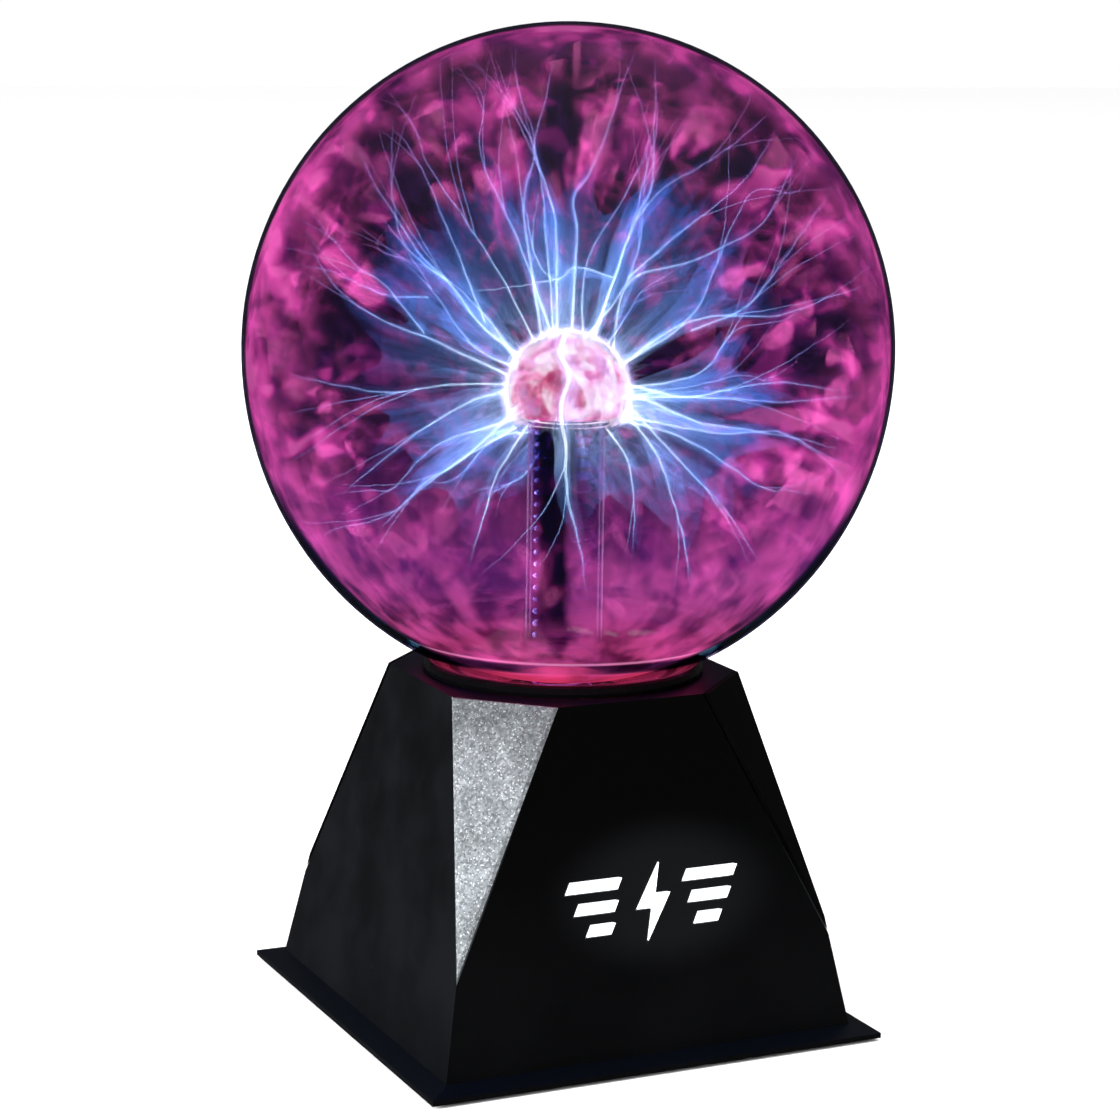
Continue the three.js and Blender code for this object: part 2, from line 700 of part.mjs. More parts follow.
function powerTransistor() {
  const low = BOARD_TOP + GAP;
  const behind = SINK_Y + GAP;
  const width = 10;
  const [tabDepth, tabHeight] = [1.3, 20];
  const [caseDepth, caseHeight] = [4.4, 12];
  const tab = box(width, tabDepth, tabHeight, SINK_X, behind + tabDepth / 2, low + tabHeight / 2);
  const cased = box(width, caseDepth, caseHeight, SINK_X, behind + caseDepth / 2, low + caseHeight / 2);
  const hole = rodAlongY(1.8, SINK_Y - 2, SINK_Y + 4, SINK_X, low + tabHeight - 3.5, 10);
  return cut(join(toSolid(tab), [cased]), [hole]);
}

function electronics() {
  const board = cut(toSolid(box(...BOARD_SIZE, 0, 0, (BOARD_BOTTOM + BOARD_TOP) / 2)), [
    ...[-1, 1].flatMap((sx) =>
      [-1, 1].map((sy) =>
        rod(SCREW_HOLE, PLATE_TOP, 2 * BOARD_TOP, 10).translate(sx * BOARD_HOLES[0], sy * BOARD_HOLES[1], 0),
      ),
    ),
  ]);
  add('circuit_board', toGeometry(board), 'circuit');
  add('transformer_core', transformerCore(), 'ferrite');
  const legX = CORE_X - CORE_WIDTH / 2 + CORE_LEG / 2;
  const windingLow = BOARD_TOP + GAP + CORE_LEG + 1;
  const windingHigh = windingLow + CORE_HEIGHT - 2 * CORE_LEG - 2;
  const winding = pipe(7.2, 14, windingLow, windingHigh, 20).translate(legX, CORE_Y, 0);
  add('transformer_winding', winding, 'winding');
  add('heat_sink', heatSink(), 'aluminium');
  add('power_transistor', toGeometry(powerTransistor()), 'component');
  const base = BOARD_TOP + GAP;
  add('filter_capacitor', rod(6.5, base, base + 22, 20).translate(10, 25, 0), 'capacitor');
  add('start_capacitor', rod(5, base, base + 16, 16).translate(26, 25, 0), 'capacitor');
  add('control_chip', box(9.5, 6.5, 3.4, 8, 6, base + 1.7), 'component');
}

// ---- rear controls and socket ----

function powerSocket() {
  const [bore, flangeRadius, flangeTop] = [2.95, 6, 1.8];
  const [pinRadius, pinHole] = [1, 1.3];
  const floor = 1 - JACK_DEPTH;
  const socket = [
    [pinHole, -JACK_DEPTH],
    [JACK_BODY, -JACK_DEPTH],
    [JACK_BODY, GAP],
    [flangeRadius, GAP],
    [flangeRadius, flangeTop],
    [bore, flangeTop],
    [bore, floor],
    [pinHole, floor],
    [pinHole, -JACK_DEPTH],
  ];
  add('dc_jack', turnedAlongY(socket, 24, JACK_X), 'component', rear);
  const pin = [[0, -JACK_PIN_DEPTH], [pinRadius, -JACK_PIN_DEPTH], [pinRadius, -1], [0.6, -0.4], [0, -0.4]];
  add('dc_jack_pin', turnedAlongY(pin, 12, JACK_X), 'steel', rear);
  add('dc_jack_nut', nut(JACK_BODY + GAP, 11.5, -WALL - GAP - 2, -WALL - GAP, JACK_X), 'steel', rear);
}

function modeSwitch() {
  const behind = -WALL - GAP;
  const depth = 8;
  const housing = join(toSolid(box(20, depth, 10, 0, behind - depth / 2, 0)), [
    box(32, 1, 9, 0, behind - 0.5, 0),
  ]);
  const pocket = 3.4;
  const cuts = [box(SLOT[0], 2 * pocket, SLOT[1], 0, behind, 0)];
  for (const side of [-1, 1]) {
    cuts.push(rodAlongY(SCREW_HOLE, behind - 2, behind + 1, side * SWITCH_SCREW_X, 0, 10));
  }
  add('mode_switch_housing', toGeometry(cut(housing, cuts)), 'component', rear);
  const [low, high] = [behind - pocket + GAP, 2.8];
  const cap = [4.6, 4.2];
  const slider = box(cap[0], high - low, cap[1], 0, (high + low) / 2, 0);
  const grips = [-1.2, 0, 1.2].map((x) => box(0.5, 1, 2 * cap[1], x, high, 0));
  add('mode_switch_slider', toGeometry(cut(toSolid(slider), grips)), 'white_plastic', rear);
  for (const [place, side] of [['left', 1], ['right', -1]]) {
    const switchScrew = add(`switch_screw_${place}`, screw(5.5, 2.4, 1.2), 'steel', rear);
    switchScrew.position.set(side * SWITCH_SCREW_X, GAP, 0);
    switchScrew.rotation.x = Math.PI / 2;
  }
}

function sensitivityDial() {
  const [shaftRadius, canRadius, canDepth] = [2.7, 8, 7];
  const behind = -WALL - GAP;
  const bore = shaftRadius + GAP;
  const can = [
    [0, behind - canDepth + 1.3],
    [bore, behind - canDepth + 1.3],
    [bore, 3],
    [DIAL_BUSH, 3],
    [DIAL_BUSH, behind],
    [canRadius, behind],
    [canRadius, behind - canDepth],
    [0, behind - canDepth],
  ];
  add('potentiometer', turnedAlongY(can.reverse(), 20, DIAL_X), 'aluminium', rear);
  const shaftLow = behind - canDepth + 1.6;
  add('dial_shaft', rodAlongY(shaftRadius, shaftLow, 10.7, DIAL_X, 0, 16), 'steel', rear);
  add('dial_nut', nut(DIAL_BUSH + GAP, 9.4, GAP, 2, DIAL_X), 'steel', rear);
  const knob = [
    [0, 11],
    [bore, 11],
    [bore, 3.4],
    [6, 3.4],
    [6, 1],
    [10, 1],
    [9.5, 12],
    [8.6, 13.2],
    [0, 13.2],
  ];
  const grooves = [];
  const flutes = 14;
  for (let i = 0; i < flutes; i++) {
    const angle = (2 * Math.PI * (i + 0.5)) / flutes;
    const flute = rodAlongY(1.1, 4, 20, 10.2 * Math.sin(angle), 10.2 * Math.cos(angle), 6);
    grooves.push(flute);
  }
  grooves.push(box(1, 1.2, 6, 0, 13.2, 6.2));
  const turnedKnob = toSolid(turnedAlongY(knob, 28));
  add('sensitivity_dial', toGeometry(cut(turnedKnob, grooves)).translate(DIAL_X, 0, 0), 'dial', rear);
}

function microphone() {
  const behind = -WALL - GAP;
  add('microphone', rodAlongY(MIC_RADIUS, behind - MIC_DEPTH, behind, 0, MIC_RISE, 16), 'aluminium', rear);
}

// ---- light guide and lamps behind the mark, in the front frame ----

function litMark() {
  const behind = WALL + GAP;
  const plate = box(66, 1.5, 27, 0, behind + 0.75, 0);
  const guide = join(toSolid(plate), markPrisms(0, -0.4, behind + 0.5));
  add('badge_light_guide', toGeometry(guide), 'white_plastic', front);
  const boardFace = 12;
  add('badge_lamp_board', box(52, 1.2, 16, 0, boardFace + 0.6, 0), 'circuit', front);
  for (const [place, side] of [['left', -1], ['right', 1]]) {
    const lamp = [[0, boardFace - GAP], [2.5, boardFace - GAP], [2.5, 8.5], [1.8, 7.2], [0, 6.6]];
    add(`badge_lamp_${place}`, turnedAlongY(lamp.reverse(), 12, side * 14), 'white_plastic', front);
  }
}

// ---- leads inside the base ----

// The start of a lead behind a fitting: two points straight in from the wall.
function start(frame, x, y, z) {
  const inwards = frame === rear ? -1 : 1;
  const points = [y, y + 3 * inwards].map((depth) => new THREE.Vector3(x, depth, z));
  return points.map((point) => point.applyMatrix4(frame.matrix).toArray());
}

// The end of a lead: straight down onto the circuit board.
function end(x, y) {
  return [[x, y, BOARD_TOP + 7], [x, y, BOARD_TOP + GAP]];
}

function leads() {
  const high = [
    [-35.5, CORE_Y - 14.8, 40],
    [-35.5, CORE_Y - 18, 40.5],
    [-26, CORE_Y - 20, 58],
    [-8, CORE_Y - 12, 68],
    [0, 0, 75],
    [0, 0, STUD_BOTTOM - 0.4],
  ];
  add('high_voltage_lead', wire(high, 1.6, 16), 'red_wire');
  const low = {
    power_lead: [...start(rear, JACK_X, -11.6, 0), [37, 38, 26], ...end(40, 22)],
    switch_lead: [...start(rear, 0, -11.4, 0), [-2, 38, 26], ...end(-2, 30)],
    dial_lead: [...start(rear, DIAL_X, -10.4, 0), [-32, 40, 28], ...end(-30, 29)],
    microphone_lead: [...start(rear, 0, -9.4, MIC_RISE), [-9, 34, 36], ...end(-14, 24)],
    badge_lead: [...start(front, 0, 13.8, 0), [-2, -36, 36], ...end(-8, -29)],
  };
  for (const [name, points] of Object.entries(low)) {
    add(name, wire(points, 1.1, 12), 'grey_wire');
  }
}

add('base_shell', toGeometry(baseShell()), 'black_plastic');
cornerPanels();
add('bottom_plate', toGeometry(bottomPlate()), 'black_plastic');
feetAndScrews();
add('globe_collar', globeCollar(), 'black_plastic');
neckFittings();
add('glass_globe', glassGlobe(), 'glass');
add('electrode_glass', electrodeGlass(), 'glass');
add('electrode_lining', electrodeLining(), 'lining');
add('contact_spring', contactSpring(), 'steel');
electronics();
powerSocket();
modeSwitch();
sensitivityDial();
microphone();
litMark();
leads();

export default object;
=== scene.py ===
"""Looks of the plasma ball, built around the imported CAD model.

Metres, +Z up, the lit mark on the front face looks along -Y. Sizes and places are worked out from the frame.
"""

import json
import math
import random

import bpy
import numpy as np
from mathutils import Matrix, Vector, noise


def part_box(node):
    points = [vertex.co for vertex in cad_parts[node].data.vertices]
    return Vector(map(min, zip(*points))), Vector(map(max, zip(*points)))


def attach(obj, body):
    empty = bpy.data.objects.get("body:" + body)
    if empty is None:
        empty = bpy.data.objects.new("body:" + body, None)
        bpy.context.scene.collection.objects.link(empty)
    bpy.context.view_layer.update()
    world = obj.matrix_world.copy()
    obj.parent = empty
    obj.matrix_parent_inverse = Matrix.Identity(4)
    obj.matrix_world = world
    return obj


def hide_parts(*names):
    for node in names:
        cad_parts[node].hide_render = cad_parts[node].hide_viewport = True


MM = 0.001
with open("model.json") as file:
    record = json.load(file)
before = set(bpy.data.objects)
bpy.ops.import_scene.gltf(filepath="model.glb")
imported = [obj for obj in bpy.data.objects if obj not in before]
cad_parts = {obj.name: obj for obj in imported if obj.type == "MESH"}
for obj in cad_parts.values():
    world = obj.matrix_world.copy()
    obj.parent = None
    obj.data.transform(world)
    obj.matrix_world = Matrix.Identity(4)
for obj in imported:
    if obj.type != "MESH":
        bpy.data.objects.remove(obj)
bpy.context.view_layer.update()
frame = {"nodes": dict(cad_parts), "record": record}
nodes = frame["nodes"]
scene = bpy.context.scene
scene.cycles.transparent_max_bounces = 96
scene.cycles.max_bounces = 8
scene.view_settings.view_transform = "Standard"

# ---- places taken from the frame ----

globe_low, globe_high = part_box("glass_globe")
GLOBE_RADIUS = (globe_high.x - globe_low.x) / 2
GLOBE_CENTRE = Vector((0, 0, globe_high.z - GLOBE_RADIUS))
NECK_BOTTOM = globe_low.z
stem_low, stem_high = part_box("electrode_glass")
DOME_RADIUS = (stem_high.x - stem_low.x) / 2
DOME_CENTRE = Vector((0, 0, stem_high.z - DOME_RADIUS))
GLOBE_DEPTH = 104.6 * MM
STRETCH = GLOBE_DEPTH / GLOBE_RADIUS
DOME_DEPTH = 8.8 * MM
UNDERSIDE = DOME_CENTRE.z - DOME_DEPTH
GLASS_WALL = 1.8 * MM
STEM_RADIUS = 12 * MM
STEM_WALL = 1.2 * MM
NECK_RADIUS = 20 * MM
SPRING_PITCH = 3.7 * MM

# ---- the glass and the gas as they are seen ----

# The glass is drawn thinner than it is, and the gas is a skin that draws away from it towards the neck.
SEEN_WALL = 0.6 * MM
GAS_RADIUS = GLOBE_RADIUS - SEEN_WALL - 0.2 * MM
GAS_LIFT = 1.5 * MM
# Share of the light that gets through the gas at the globe's wall, once.
GAS_TINT = (0.09, 0.05, 0.115)
# Heights in metres: the dull band of glass at the globe's foot, the top of the pink glow behind it and how
# much higher that is in the middle, the bright line above it, and where the stem's dark gap and the
# streamers fade out.
DULL_BAND = (0.1170, 0.1217)
FOOT_GLOW_TOP = 0.1160
FOOT_GLOW_RISE = 0.0034
BRIGHT_LINE = (0.1200, 0.1216)
GAP_END = (0.126, 0.142)
STREAMER_FADE = (0.134, 0.160)
WHITE = (1, 1, 1)
SEED = 11

# ---- camera, floor and light ----

CAMERA_AZIMUTH = math.radians(-25.45)
CAMERA_ELEVATION = math.radians(10.8)
CAMERA_ROLL = math.radians(0.93)
CAMERA_DISTANCE = 0.941
CAMERA_AIM = Vector((0.0008, 0.0051, 0.1418))
CAMERA_LENS = 96.6

ACROSS = Vector((math.cos(CAMERA_AZIMUTH), math.sin(CAMERA_AZIMUTH), 0))
TOWARDS = Vector(
    (
        math.sin(CAMERA_AZIMUTH) * math.cos(CAMERA_ELEVATION),
        -math.cos(CAMERA_AZIMUTH) * math.cos(CAMERA_ELEVATION),
        math.sin(CAMERA_ELEVATION),
    )
)
RISE = TOWARDS.cross(ACROSS)


def make_camera():
    data = bpy.data.cameras.new("camera")
    data.lens = CAMERA_LENS
    data.sensor_width = 36
    data.clip_start, data.clip_end = 0.01, 50
    camera = bpy.data.objects.new("camera", data)
    scene.collection.objects.link(camera)
    right = ACROSS * math.cos(CAMERA_ROLL) + RISE * math.sin(CAMERA_ROLL)
    up = RISE * math.cos(CAMERA_ROLL) - ACROSS * math.sin(CAMERA_ROLL)
    turn = Matrix((right, up, TOWARDS)).transposed()
    camera.matrix_world = Matrix.Translation(CAMERA_AIM + TOWARDS * CAMERA_DISTANCE) @ turn.to_4x4()
    scene.camera = camera


def area_light(name, place, aim, size, power, colour=(1, 1, 1)):
    data = bpy.data.lights.new(name, "AREA")
    data.shape = "DISK"
    data.size = size
    data.energy = power
    data.color = colour
    light = bpy.data.objects.new(name, data)
    scene.collection.objects.link(light)
    light.location = place
    light.visible_glossy = False
    light.visible_camera = False
    light.rotation_mode = "QUATERNION"
    light.rotation_quaternion = (Vector(aim) - Vector(place)).to_track_quat("-Z", "Y")


def make_stage():
    world = bpy.data.worlds.new("studio")
    scene.world = world
    sky = Look("studio", world, "OutputWorld")

    def background(strength):
        return sky.node("Background", inputs={"Color": WHITE, "Strength": strength})

    def pick(ray, other, for_ray):
        return sky.node("MixShader", inputs={0: sky.node("LightPath", ray), 1: other, 2: for_ray})

    up = sky.node("SeparateXYZ", "Z", {0: sky.node("TexCoord", "Generated")})
    mirrored = background(sky.span(up, 0.35, 0.95, 0.045, 0.3))
    spread = pick("Is Diffuse Ray", mirrored, background(1.3))
    sky.show(pick("Is Camera Ray", spread, background(1.0)))
    half = 8.0
    corners = [(-half, -half, 0), (half, -half, 0), (half, half, 0), (-half, half, 0)]
    floor = mesh_object("floor", corners, [(0, 1, 2, 3)], smooth=False)
    paper = Look("floor_paper")
    give(floor, paper.principled(Base_Color=(0.95, 0.95, 0.95), Roughness=0.9, Specular_IOR_Level=0.1))
    floor.visible_glossy = False
    area_light("key", (-1.4, -0.15, 0.5), (0, 0, 0.05), 0.7, 42)
    area_light("top", (0.2, -0.3, 2.0), (0, 0, 0.1), 1.2, 22)
    area_light("back", (0.6, 1.4, 1.0), (0, 0, 0.1), 0.9, 10)
    area_light("plasma_glow", (0, 0, 0.152), (0, 0, 0.1), 0.11, 2.2, (1.0, 0.30, 0.45))


# ---- mesh helpers ----


def mesh_object(name, verts, faces, smooth=True):
    mesh = bpy.data.meshes.new(name)
    mesh.from_pydata([tuple(v) for v in verts], [], [tuple(int(i) for i in f) for f in faces])
    mesh.validate()
    if smooth:
        mesh.polygons.foreach_set("use_smooth", [True] * len(mesh.polygons))
    obj = bpy.data.objects.new(name, mesh)
    scene.collection.objects.link(obj)
    return obj


def grid_faces(rows, columns, close_columns=False):
    """Quads over a grid of vertices in row order."""
    faces = []
    for i in range(rows - 1):
        for j in range(columns if close_columns else columns - 1):
            low, high = i * columns, (i + 1) * columns
            n = (j + 1) % columns
            faces.append((low + j, low + n, high + n, high + j))
    return faces


def revolve(name, profile, segments=96):
    """A piece turned about Z from a list of (radius, height)."""
    verts, rings = [], []
    for radius, z in profile:
        if radius < 1e-7:
            rings.append([len(verts)])
            verts.append((0, 0, z))
            continue
        ring = []
        for k in range(segments):
            angle = 2 * math.pi * k / segments
            ring.append(len(verts))
            verts.append((radius * math.cos(angle), radius * math.sin(angle), z))
        rings.append(ring)
    faces = []
    for low, high in zip(rings, rings[1:]):
        for k in range(segments):
            n = (k + 1) % segments
            quad = [low[k % len(low)], low[n % len(low)], high[n % len(high)], high[k % len(high)]]
            face = list(dict.fromkeys(quad))
            if len(face) > 2:
                faces.append(face)
    return mesh_object(name, verts, faces)


def arc(radius, centre_z, start, end, steps):
    """Points of a circle about (0, centre_z) between two angles from straight up, as (radius, height)."""
    points = []
    for i in range(steps + 1):
        angle = start + (end - start) * i / steps
        points.append((max(0.0, radius * math.sin(angle)), centre_z + radius * math.cos(angle)))
    return points


def globe_arc(offset, start, end, steps):
    """Points of the globe's outline moved outward by offset: a ball above its middle, stretched below it."""
    radius = GLOBE_RADIUS + offset
    stretch = (GLOBE_DEPTH + offset) / radius
    points = arc(radius, 0, start, end, steps)
    return [(r, GLOBE_CENTRE.z + z * (stretch if z < 0 else 1)) for r, z in points]


def stretch_low(obj):
    """Stretches what lies below the globe's middle as the globe itself is."""
    for vertex in obj.data.vertices:
        below = vertex.co.z - GLOBE_CENTRE.z
        if below < 0:
            vertex.co.z = GLOBE_CENTRE.z + below * STRETCH


def smooth_path(points, count):
    """A Catmull-Rom curve through the points, as count evenly spaced points."""
    p = np.array(points, float)
    p = np.vstack([2 * p[0] - p[1], p, 2 * p[-1] - p[-2]])
    fine = []
    for i in range(1, len(p) - 2):
        for t in np.linspace(0, 1, 12, endpoint=False):
            a, b, c, d = p[i - 1 : i + 3]
            curve = 2 * b + (c - a) * t + (2 * a - 5 * b + 4 * c - d) * t**2 + (3 * b - a - 3 * c + d) * t**3
            fine.append(curve / 2)
    fine.append(p[-2])
    fine = np.array(fine)
    steps = np.linalg.norm(np.diff(fine, axis=0), axis=1)
    along = np.concatenate([[0], np.cumsum(steps)])
    even = np.linspace(0, along[-1], count)
    return np.stack([np.interp(even, along, fine[:, k]) for k in range(3)], axis=1)


class Bundle:
    """Tubes and sheets gathered into one mesh."""

    def __init__(self):
        self.verts, self.faces = [], []

    def tube(self, path, radii, sides=6):
        """A tube along path with a radius at each point, closed by a point at each end."""
        path = np.asarray(path, float)
        tangents = np.gradient(path, axis=0)
        tangents /= np.maximum(np.linalg.norm(tangents, axis=1), 1e-12)[:, None]
        normal = np.cross(tangents[0], [0.31, 0.57, 0.76])
        normal /= np.linalg.norm(normal)
        first = len(self.verts)
        angles = np.arange(sides) * 2 * math.pi / sides
        for point, tangent, radius in zip(path, tangents, radii):
            normal = normal - tangent * normal.dot(tangent)
            normal /= np.linalg.norm(normal)
            side = np.cross(tangent, normal)
            for angle in angles:
                self.verts.append(point + radius * (normal * math.cos(angle) + side * math.sin(angle)))
        rows = len(path)
        for face in grid_faces(rows, sides, close_columns=True):
            self.faces.append([first + i for i in face])
        low, high = len(self.verts), len(self.verts) + 1
        self.verts += [path[0] - tangents[0] * radii[0], path[-1] + tangents[-1] * radii[-1]]
        last = first + (rows - 1) * sides
        for k in range(sides):
            n = (k + 1) % sides
            self.faces.append([first + n, first + k, low])
            self.faces.append([last + k, last + n, high])

    def sheet(self, grid):
        """A sheet over a grid of points, rows by columns."""
        grid = np.asarray(grid, float)
        rows, columns = grid.shape[:2]
        first = len(self.verts)
        self.verts += list(grid.reshape(-1, 3))
        self.faces += [[first + i for i in face] for face in grid_faces(rows, columns)]

    def make(self, name):
        return mesh_object(name, self.verts, self.faces)


# ---- material helpers ----


class Look:
    """The nodes of a material, or of the world, with short calls for those used here."""

    def __init__(self, name, owner=None, output="OutputMaterial"):
        self.mat = owner or bpy.data.materials.new(name)
        self.mat.use_nodes = True
        self.tree = self.mat.node_tree
        self.tree.nodes.clear()
        self.out = self.tree.nodes.new("ShaderNode" + output)

    def put(self, socket, value):
        if isinstance(value, bpy.types.NodeSocket):
            self.tree.links.new(value, socket)
        elif socket.type == "RGBA":
            socket.default_value = (*value[:3], 1)
        else:
            socket.default_value = value

    def node(self, kind, output=0, inputs=None, **settings):
        made = self.tree.nodes.new("ShaderNode" + kind)
        for key, value in settings.items():
            setattr(made, key, value)
        for key, value in (inputs or {}).items():
            self.put(made.inputs[key], value)
        return made.outputs[output]

    def place(self):
        return self.node("TexCoord", "Object")

    def height(self):
        return self.node("SeparateXYZ", "Z", {0: self.place()})

    def across(self):
        """How far to the right of the globe's axis, seen from the front."""
        return self.dot(self.place(), ACROSS)

    def math(self, operation, a, b=0.0):
        return self.node("Math", inputs={0: a, 1: b}, operation=operation)

    def times(self, product, *others):
        for other in others:
            product = self.math("MULTIPLY", product, other)
        return product

    def inverse(self, share):
        return self.math("SUBTRACT", 1.0, share)

    def vector(self, operation, a, b=(0, 0, 0), output=0):
        return self.node("VectorMath", output, {0: a, 1: b}, operation=operation)

    def length(self, a):
        return self.vector("LENGTH", a, output="Value")

    def dot(self, a, b):
        return self.vector("DOT_PRODUCT", a, b, "Value")

    def away_from(self, centre):
        return self.vector("SUBTRACT", self.place(), centre)

    def scaled(self, a, amount):
        return self.node("VectorMath", 0, {0: a, "Scale": amount}, operation="SCALE")

    def noise(self, place, scale=1.0, detail=2.0, roughness=0.5, output="Fac"):
        inputs = {"Vector": place, "Scale": scale, "Detail": detail, "Roughness": roughness}
        return self.node("TexNoise", output, inputs)

    def shifted(self, place, by, amount):
        """The place pushed about by a noise that is read at the place called by."""
        return self.vector("ADD", place, self.scaled(self.noise(by, output="Color"), amount))

    def ramp(self, value, *stops):
        """A colour ramp; each stop is (position, (r, g, b))."""
        made = self.tree.nodes.new("ShaderNodeValToRGB")
        elements = made.color_ramp.elements
        while len(elements) < len(stops):
            elements.new(0.5)
        for element, (position, colour) in zip(elements, stops):
            element.position = position
            element.color = (*colour, 1)
        self.put(made.inputs[0], value)
        return made.outputs[0]

    def span(self, value, low, high, start=0.0, end=1.0, smooth=True):
        """From start to end as the value goes from low to high."""
        kind = "SMOOTHSTEP" if smooth else "LINEAR"
        inputs = {"Value": value, "From Min": low, "From Max": high, "To Min": start, "To Max": end}
        return self.node("MapRange", 0, inputs, interpolation_type=kind)

    def mix(self, factor, a, b, blend="MIX"):
        inputs = {0: factor, 6: a, 7: b}
        return self.node("Mix", 2, inputs, data_type="RGBA", blend_type=blend)

    def bump(self, height, strength, distance):
        return self.node("Bump", inputs={"Height": height, "Strength": strength, "Distance": distance})

    def grain(self, size, depth):
        """The normal of a finely grained surface."""
        return self.bump(self.noise(self.place(), size, 2.0, 0.6), 0.3, depth)

    def show(self, socket):
        self.tree.links.new(socket, self.out.inputs["Surface"])
        return self.mat

    def principled(self, lamp=False, **inputs):
        """A solid surface; light that it gives off is sampled as a lamp's only if asked."""
        if "Emission_Color" in inputs and not lamp:
            self.mat.cycles.emission_sampling = "NONE"
        named = {key.replace("_", " "): value for key, value in inputs.items()}
        return self.show(self.node("BsdfPrincipled", 0, named))

    def through_gas(self, colour):
        """What something in the globe must give off to be seen in this colour from outside."""
        return self.vector("DIVIDE", colour, GAS_TINT)

    def gas_light(self, colour, strength):
        """Light added to what is behind it, as thin glowing gas does."""
        self.mat.cycles.emission_sampling = "NONE"
        return self.lit_gas(self.through_gas(colour), strength, WHITE)

    def lit_gas(self, colour, strength, tint):
        light = self.node("Emission", inputs={"Color": colour, "Strength": strength})
        clear = self.node("BsdfTransparent", inputs={"Color": tint})
        return self.show(self.node("AddShader", inputs={0: clear, 1: light}))


def give(obj, mat):
    obj.data.materials.clear()
    obj.data.materials.append(mat)


def piece(obj, mat, slot=None, replaced=None):
    """A visible piece of the housing, and the CAD node that it stands in for."""
    give(obj, mat)
    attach(obj, "housing")
    if slot:
        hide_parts(replaced)


# ---- glowing gas ----


def from_dome(look):
    """Offset from the middle of the dome, its length, and its direction."""
    offset = look.away_from(DOME_CENTRE)
    return offset, look.length(offset), look.vector("NORMALIZE", offset)


def from_middle(look):
    """Direction from the middle of the globe."""
    return look.vector("NORMALIZE", look.away_from(GLOBE_CENTRE))


def sideways(look, direction, near, far, low=0.0, high=1.0):
    """From low for what lies straight to the front or rear, to high for what lies to the side."""
    return look.span(look.math("ABSOLUTE", look.dot(direction, TOWARDS)), near, far, low, high)


def flattened(look, offset, share=1.0):
    """The offset with a share of its part from front to rear taken out."""
    back = look.scaled(TOWARDS, look.dot(offset, TOWARDS))
    return look.vector("SUBTRACT", offset, look.scaled(back, share))


def rayed(look, offset, around, along):
    """A place for noise whose features point away from where the offset is nought."""
    return look.scaled(offset, look.math("ADD", look.math("DIVIDE", around, look.length(offset)), along))


def fanned(look, offset, around, along):
    """A place for noise whose features point away from the dome; they are drawn out from front to rear."""
    return rayed(look, flattened(look, offset, 0.62), around, along)


def outside_gaps(look, offset):
    """1 in the pink plumes and 0 in the dark gaps between them, the same for every layer of the glow."""
    flat = flattened(look, offset)
    where = look.shifted(rayed(look, flat, 2.4, 36.0), look.scaled(flat, 30.0), 0.8)
    plumes = look.span(look.noise(where, 1.0, 1.6), 0.41, 0.53)
    near_edge = look.span(look.length(flattened(look, look.away_from(GLOBE_CENTRE))), 0.077, 0.094)
    low = look.span(look.height(), GLOBE_CENTRE.z - 0.010, GLOBE_CENTRE.z - 0.060)
    return look.math("MAXIMUM", plumes, look.math("MAXIMUM", near_edge, low))


def above_foot(look):
    """Fades out what lies low in the globe."""
    return look.span(look.height(), GLOBE_CENTRE.z - 0.075, GLOBE_CENTRE.z - 0.030, 0.25, 1.0)


def stem_gap(look):
    """How dark the glow before the stem's left half is: a ragged upright gap."""
    ragged = look.times(look.math("SUBTRACT", look.noise(look.place(), 70.0), 0.5), 0.005)
    across = look.math("ADD", look.across(), ragged)
    sides = look.times(look.span(across, -0.0086, -0.0060), look.span(across, 0.0024, -0.0004))
    front = look.span(look.dot(look.place(), TOWARDS), 0.0, 0.010)
    return look.times(sides, look.times(look.span(look.height(), *GAP_END), front))


def gas_glow_material():
    """Dark violet gas with magenta patches, on the inside of the globe's wall."""
    look = Look("gas_glow")
    colour = look.mix(
        look.span(look.height(), GLOBE_CENTRE.z - 0.010, GLOBE_CENTRE.z - 0.070),
        upper_gas(look),
        lower_gas(look),
    )
    around = look.noise(look.vector("MULTIPLY", from_dome(look)[2], (3.2, 3.2, 0.0)))
    middle = look.span(look.math("ABSOLUTE", look.across()), 0.017, 0.004)
    top = look.math("ADD", FOOT_GLOW_TOP, look.times(middle, FOOT_GLOW_RISE))
    under = look.span(look.math("SUBTRACT", look.height(), top), 0.0008, 0.0)
    foot = look.times(under, look.span(around, 0.34, 0.58, 0.45, 1.0))
    colour = look.mix(foot, colour, (1.0, 0.075, 0.22))
    low, high = BRIGHT_LINE
    height = look.height()
    line = look.times(look.span(height, low, low + 0.0005), look.span(height, high, high - 0.0006))
    colour = look.mix(look.times(line, 0.7), colour, (0.95, 0.35, 0.62))
    return look.lit_gas(colour, 0.74, GAS_TINT)


def upper_gas(look):
    """Magenta patches that point away from the dome, over near black."""
    offset, _, direction = from_dome(look)
    bent = look.shifted(fanned(look, offset, 4.6, 25.0), look.scaled(direction, 3.0), 1.3)
    patches = look.span(look.noise(bent, 1.0, 1.3), 0.43, 0.64)
    aside = sideways(look, from_middle(look), 0.92, 0.60, 0.36, 0.95)
    amount = look.times(patches, aside, outside_gaps(look, offset))
    wisps = look.span(look.noise(look.place(), 52.0, 3.0, 0.55), 0.36, 0.62, 0.40, 0.95)
    amount = look.node("Mix", 0, {0: sideways(look, from_middle(look), 0.50, 0.24), 2: amount, 3: wisps})
    return look.ramp(
        amount,
        (0.0, (0.001, 0.001, 0.006)), (0.25, (0.012, 0.002, 0.030)),
        (0.5, (0.13, 0.009, 0.095)), (0.75, (0.42, 0.035, 0.23)),
        (1.0, (0.74, 0.12, 0.42)),
    )


